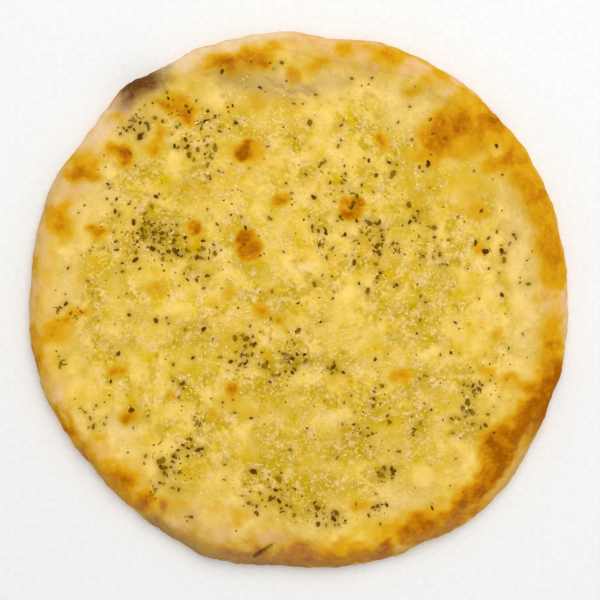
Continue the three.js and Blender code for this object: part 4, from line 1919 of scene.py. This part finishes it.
@dataclass
class OreganoLeaves(Litter):
    """Dried oregano leaf flakes, each a thin curled leaf with a torn outline, half sunk in the cheese.

    Spans are in a flake's own lengths, curls in its widths, and tilts in mm of rise for each mm.
    """

    along: int = 8
    across: int = 4
    proud: float = 0.2
    thickness: float = 0.18
    thickest: float = 0.16
    tear: float = 0.2
    bluntness: float = 0.06
    fullness: Span = (1.6, 3.2)
    sways: Span = (-0.18, 0.18)
    curls: Span = (-0.05, 0.35)
    bends: Span = (-0.1, 0.12)
    tilts_along: Span = (-0.2, 0.2)
    tilts_across: Span = (-0.25, 0.25)
    crumple: float = 0.03
    darkening: float = 2.2
    seed: int = 401

    def build(self) -> bpy.types.Object:
        """The flakes, each of its own shape and shade.

        Returns:
            The finished piece, lying on the cheese.
        """
        handfuls = (LARGE_FLAKES, SMALL_FLAKES, SPECKS)
        flakes = [flake for handful in handfuls for flake in handful.flakes(self.loaf)]
        draw = Draw(self.seed)
        things = [self.leaf(flake, draw) for flake in flakes]
        tints = [draw.next() ** (flake.length / self.darkening) for flake in flakes]
        angle = np.array([flake.angle for flake in flakes])
        radius = np.array([flake.radius for flake in flakes])
        plan = self.loaf.place(angle, radius, radius)[:, :2]
        finish = DriedLeaf("dried_oregano_leaf")
        return self.joined("oregano_flakes", things, plan, self.faces(), tints, finish)

    def leaf(self, flake: Flake, draw: Draw) -> Array:
        """One flake about its own middle.

        Args:
            flake: Its size and heading.
            draw: Where its curl and torn outline come from.

        Returns:
            Its points in mm: the upper face, then the lower.
        """
        steps = np.linspace(-1, 1, self.along), np.linspace(-1, 1, self.across)
        run, side = np.meshgrid(*steps, indexing="ij")
        torn = 1 + self.tear * draw.spread((self.along, 1))
        belly = np.sqrt(np.maximum(self.bluntness, 1 - np.abs(run) ** draw.between(*self.fullness))) * torn
        x = run * flake.length / 2
        y = side * belly * flake.width / 2 + draw.between(*self.sways) * flake.length * run**2
        curl = draw.between(*self.curls) * flake.width * side**2
        bend = draw.between(*self.bends) * flake.length * run**2
        tilt = draw.between(*self.tilts_along) * x + draw.between(*self.tilts_across) * y
        rough = self.crumple * flake.length * draw.spread(run.shape)
        top = np.stack([x, y, curl + bend + rough + tilt + self.proud], axis=-1).reshape(-1, 3)
        thick = min(self.thickness, self.thickest * flake.length)
        return self.turned(np.concatenate([top, top - [0, 0, thick]]), flake.turn)

    def faces(self) -> Array:
        """The triangles of one flake: two faces and the edge between them.

        Returns:
            Three point numbers for each triangle.
        """
        index = np.arange(self.along * self.across).reshape(self.along, self.across)
        a, b = index[:-1, :-1].ravel(), index[1:, :-1].ravel()
        c, d = index[1:, 1:].ravel(), index[:-1, 1:].ravel()
        top = np.concatenate([np.stack([a, b, c], axis=1), np.stack([a, c, d], axis=1)])
        edge = np.concatenate([index[:, 0], index[-1, 1:], index[-2::-1, -1], index[0, -2:0:-1]])
        after = np.roll(edge, -1)
        walls = [(edge, edge + index.size, after), (after, edge + index.size, after + index.size)]
        return np.concatenate([top, top[:, ::-1] + index.size, *(np.stack(wall, axis=1) for wall in walls)])


@dataclass
class OreganoStems(Litter):
    """Broken oregano stems: thin bent sticks."""

    count: int = 36
    seed: int = 503
    lengths: Span = (1.8, 4.4)
    thickness: Span = (0.35, 0.6)
    bends: Span = (-0.7, 0.7)
    taper: float = 0.5
    proud: float = 0.7
    shades: Span = (0.2, 1)
    rings: int = 6
    sides: int = 6

    def build(self) -> bpy.types.Object:
        """The stems, each of its own shape and shade.

        Returns:
            The finished piece, lying on the cheese.
        """
        draw = Draw(self.seed)
        drops = [SPRINKLES[int(draw.next() * len(SPRINKLES))] for _ in range(self.count)]
        plan = np.array([drop.drop(draw) for drop in drops])
        sticks = [Skin(self.stick(draw)) for _ in drops]
        tints = [draw.between(*self.shades) for _ in drops]
        things = [stick.points() for stick in sticks]
        faces = sticks[0].triangles()
        return self.joined("oregano_stems", things, plan, faces, tints, DriedLeaf("dried_oregano_stem"))

    def stick(self, draw: Draw) -> list[Array]:
        """The rings of one stick about its own middle, from end to end.

        Args:
            draw: Where its size, bend and heading come from.

        Returns:
            Each ring's points in mm, one row each.
        """
        length = draw.between(*self.lengths)
        half = draw.between(*self.thickness) / 2
        bend, turn = draw.between(*self.bends), TURN * draw.next()
        angle = np.arange(self.sides) * TURN / self.sides
        rings = []
        for run in np.linspace(0.5, -0.5, self.rings):
            width = half * (1 - self.taper * abs(run))
            x = np.full(self.sides, run * length)
            y = bend * length * run * run + width * np.cos(angle)
            rings.append(np.stack([x, y, self.proud * half + width * np.sin(angle)], axis=1))
        caps = [ring.mean(axis=0, keepdims=True) for ring in (rings[0], rings[-1])]
        return [self.turned(ring, turn) for ring in (caps[0], *rings, caps[1])]


@dataclass
class CheeseGrains(Litter):
    """Short shreds of grated cheese that stayed whole, in crowds on the melted skin."""

    tries: int = 18000
    stray_share: float = 0.15
    seed: int = 607
    lengths: Span = (0.8, 3.4)
    slimness: Span = (0.22, 0.5)
    flatness: Span = (0.14, 0.24)
    bends: Span = (-0.3, 0.3)
    unevenness: float = 0.22
    rings: int = 2
    sides: int = 8
    proud: float = 0.1
    palest_toast: float = 0.15

    def build(self) -> bpy.types.Object:
        """The shreds, kept where the cheese is grainy and not toasted.

        Returns:
            The finished piece, bedded in the cheese.
        """
        draw = Draw(self.seed)
        bake = self.cheese.bake
        plan = bake.grainy_radius * draw.spread((self.tries, 2))
        share = np.maximum(bake.clumps(plan), self.stray_share) * bake.granular(plan)
        share *= bake.marks(self.cheese.perch(plan))[Mark.TOAST] < self.palest_toast
        kept = plan[draw.spread((self.tries,)) < 2 * share - 1]
        shreds = [Skin(self.shred(draw)) for _ in kept]
        tints = [draw.next() for _ in kept]
        things = [shred.points() for shred in shreds]
        faces = shreds[0].triangles()
        finish = GratedCheese("grated_hard_cheese")
        return self.joined("grated_cheese_grains", things, kept, faces, tints, finish)

    def shred(self, draw: Draw) -> list[Array]:
        """The rings of one uneven, bent shred about its own foot, from top to bottom.

        Args:
            draw: Where its size, bend, heading and unevenness come from.

        Returns:
            Each ring's points in mm, one row each.
        """
        half = draw.between(*self.lengths) / 2
        size = half * np.array([1, draw.between(*self.slimness), draw.between(*self.flatness)])
        bend, turn = draw.between(*self.bends) / half, TURN * draw.next()
        angle = np.arange(self.sides) * TURN / self.sides
        rings = [np.array([[0.0, 0.0, 1.0]])]
        for index in range(1, self.rings + 1):
            fall = TURN / 2 * index / (self.rings + 1)
            round_ring = [math.sin(fall) * np.cos(angle), math.sin(fall) * np.sin(angle)]
            rings.append(np.stack([*round_ring, np.full(self.sides, math.cos(fall))], axis=1))
        rings.append(np.array([[0.0, 0.0, -1.0]]))
        bent = []
        for ring in rings:
            points = ring * (1 + self.unevenness * draw.spread((len(ring), 1))) * size
            points[:, 1] += bend * points[:, 0] ** 2
            points[:, 2] += self.proud * size[2]
            bent.append(self.turned(points, turn))
        return bent


# The studio


@dataclass(frozen=True)
class Studio:
    """Pale floor, soft light and a camera that looks straight down.

    The frame is what the photograph spans at the top of the loaf. Lights are in metres and watts.
    """

    frame_mm: float = 331.6
    aim_mm: Span = (0.8, -0.3)
    distance_mm: float = 900
    top_mm: float = 10
    sensor_mm: float = 36
    floor_mm: float = 4000
    sky: float = 0.59
    sky_colour: str = "#ffffff"
    key_place: Place = (0.16, 0.62, 1.28)
    key_size: float = 1.1
    key_power: float = 9.5
    fill_place: Place = (0.7, -0.6, 1.2)
    fill_size: float = 1.2
    fill_power: float = 1.5

    def build(self) -> None:
        """Floor, lights, sky and camera."""
        self.floor()
        self.lamp("key_softbox", self.key_place, self.key_size, self.key_power)
        self.lamp("fill_softbox", self.fill_place, self.fill_size, self.fill_power)
        world = bpy.data.worlds.new("studio_sky")
        world.use_nodes = True
        background = world.node_tree.nodes["Background"]
        background.inputs["Strength"].default_value = self.sky
        background.inputs["Color"].default_value = linear(self.sky_colour)
        scene = bpy.context.scene
        scene.world = world
        scene.view_settings.view_transform = "Standard"
        self.camera()

    def floor(self) -> None:
        """A wide flat sheet under the focaccia."""
        half = self.floor_mm / 2
        points = np.array([[-half, -half, 0], [half, -half, 0], [half, half, 0], [-half, half, 0]])
        sheet = add_mesh("studio_floor", points, np.array([[0, 1, 2], [0, 2, 3]]), {})
        sheet.data.materials.append(StudioPaper("matt_white_paper").material())

    def lamp(self, name: str, place: Place, size: float, power: float) -> None:
        """A square soft light that faces the focaccia.

        Args:
            name: The light's name.
            place: Where it hangs, in metres.
            size: How wide it is, in metres.
            power: How strong it is, in watts.
        """
        light = bpy.data.lights.new(name, "AREA")
        light.size = size
        light.energy = power
        lamp = bpy.data.objects.new(name, light)
        lamp.location = place
        lamp.rotation_euler = (-Vector(place)).to_track_quat("-Z", "Y").to_euler()
        bpy.context.scene.collection.objects.link(lamp)

    def camera(self) -> None:
        """A camera over the middle, its frame as wide as the photograph's."""
        data = bpy.data.cameras.new("overhead_camera")
        data.sensor_width = self.sensor_mm
        data.lens = self.sensor_mm * self.distance_mm / self.frame_mm
        camera = bpy.data.objects.new("overhead_camera", data)
        camera.location = (self.aim_mm[0] * MM, self.aim_mm[1] * MM, (self.distance_mm + self.top_mm) * MM)
        bpy.context.scene.collection.objects.link(camera)
        bpy.context.scene.camera = camera


def main() -> None:
    """Builds the focaccia piece by piece, then the studio round it."""
    logging.basicConfig(level=logging.INFO, format="%(message)s")
    loaf = Loaf()
    bake = Bake(loaf)
    cheese = MeltedCheese(loaf, bake)
    toppings = (CheeseGrains(loaf, cheese), OreganoLeaves(loaf, cheese), OreganoStems(loaf, cheese))
    for maker in (Bread(loaf, bake), cheese, *toppings):
        piece = maker.build()
        LOG.info("%s: %d triangles", piece.name, len(piece.data.polygons))
    Studio().build()


if __name__ == "__main__":
    main()
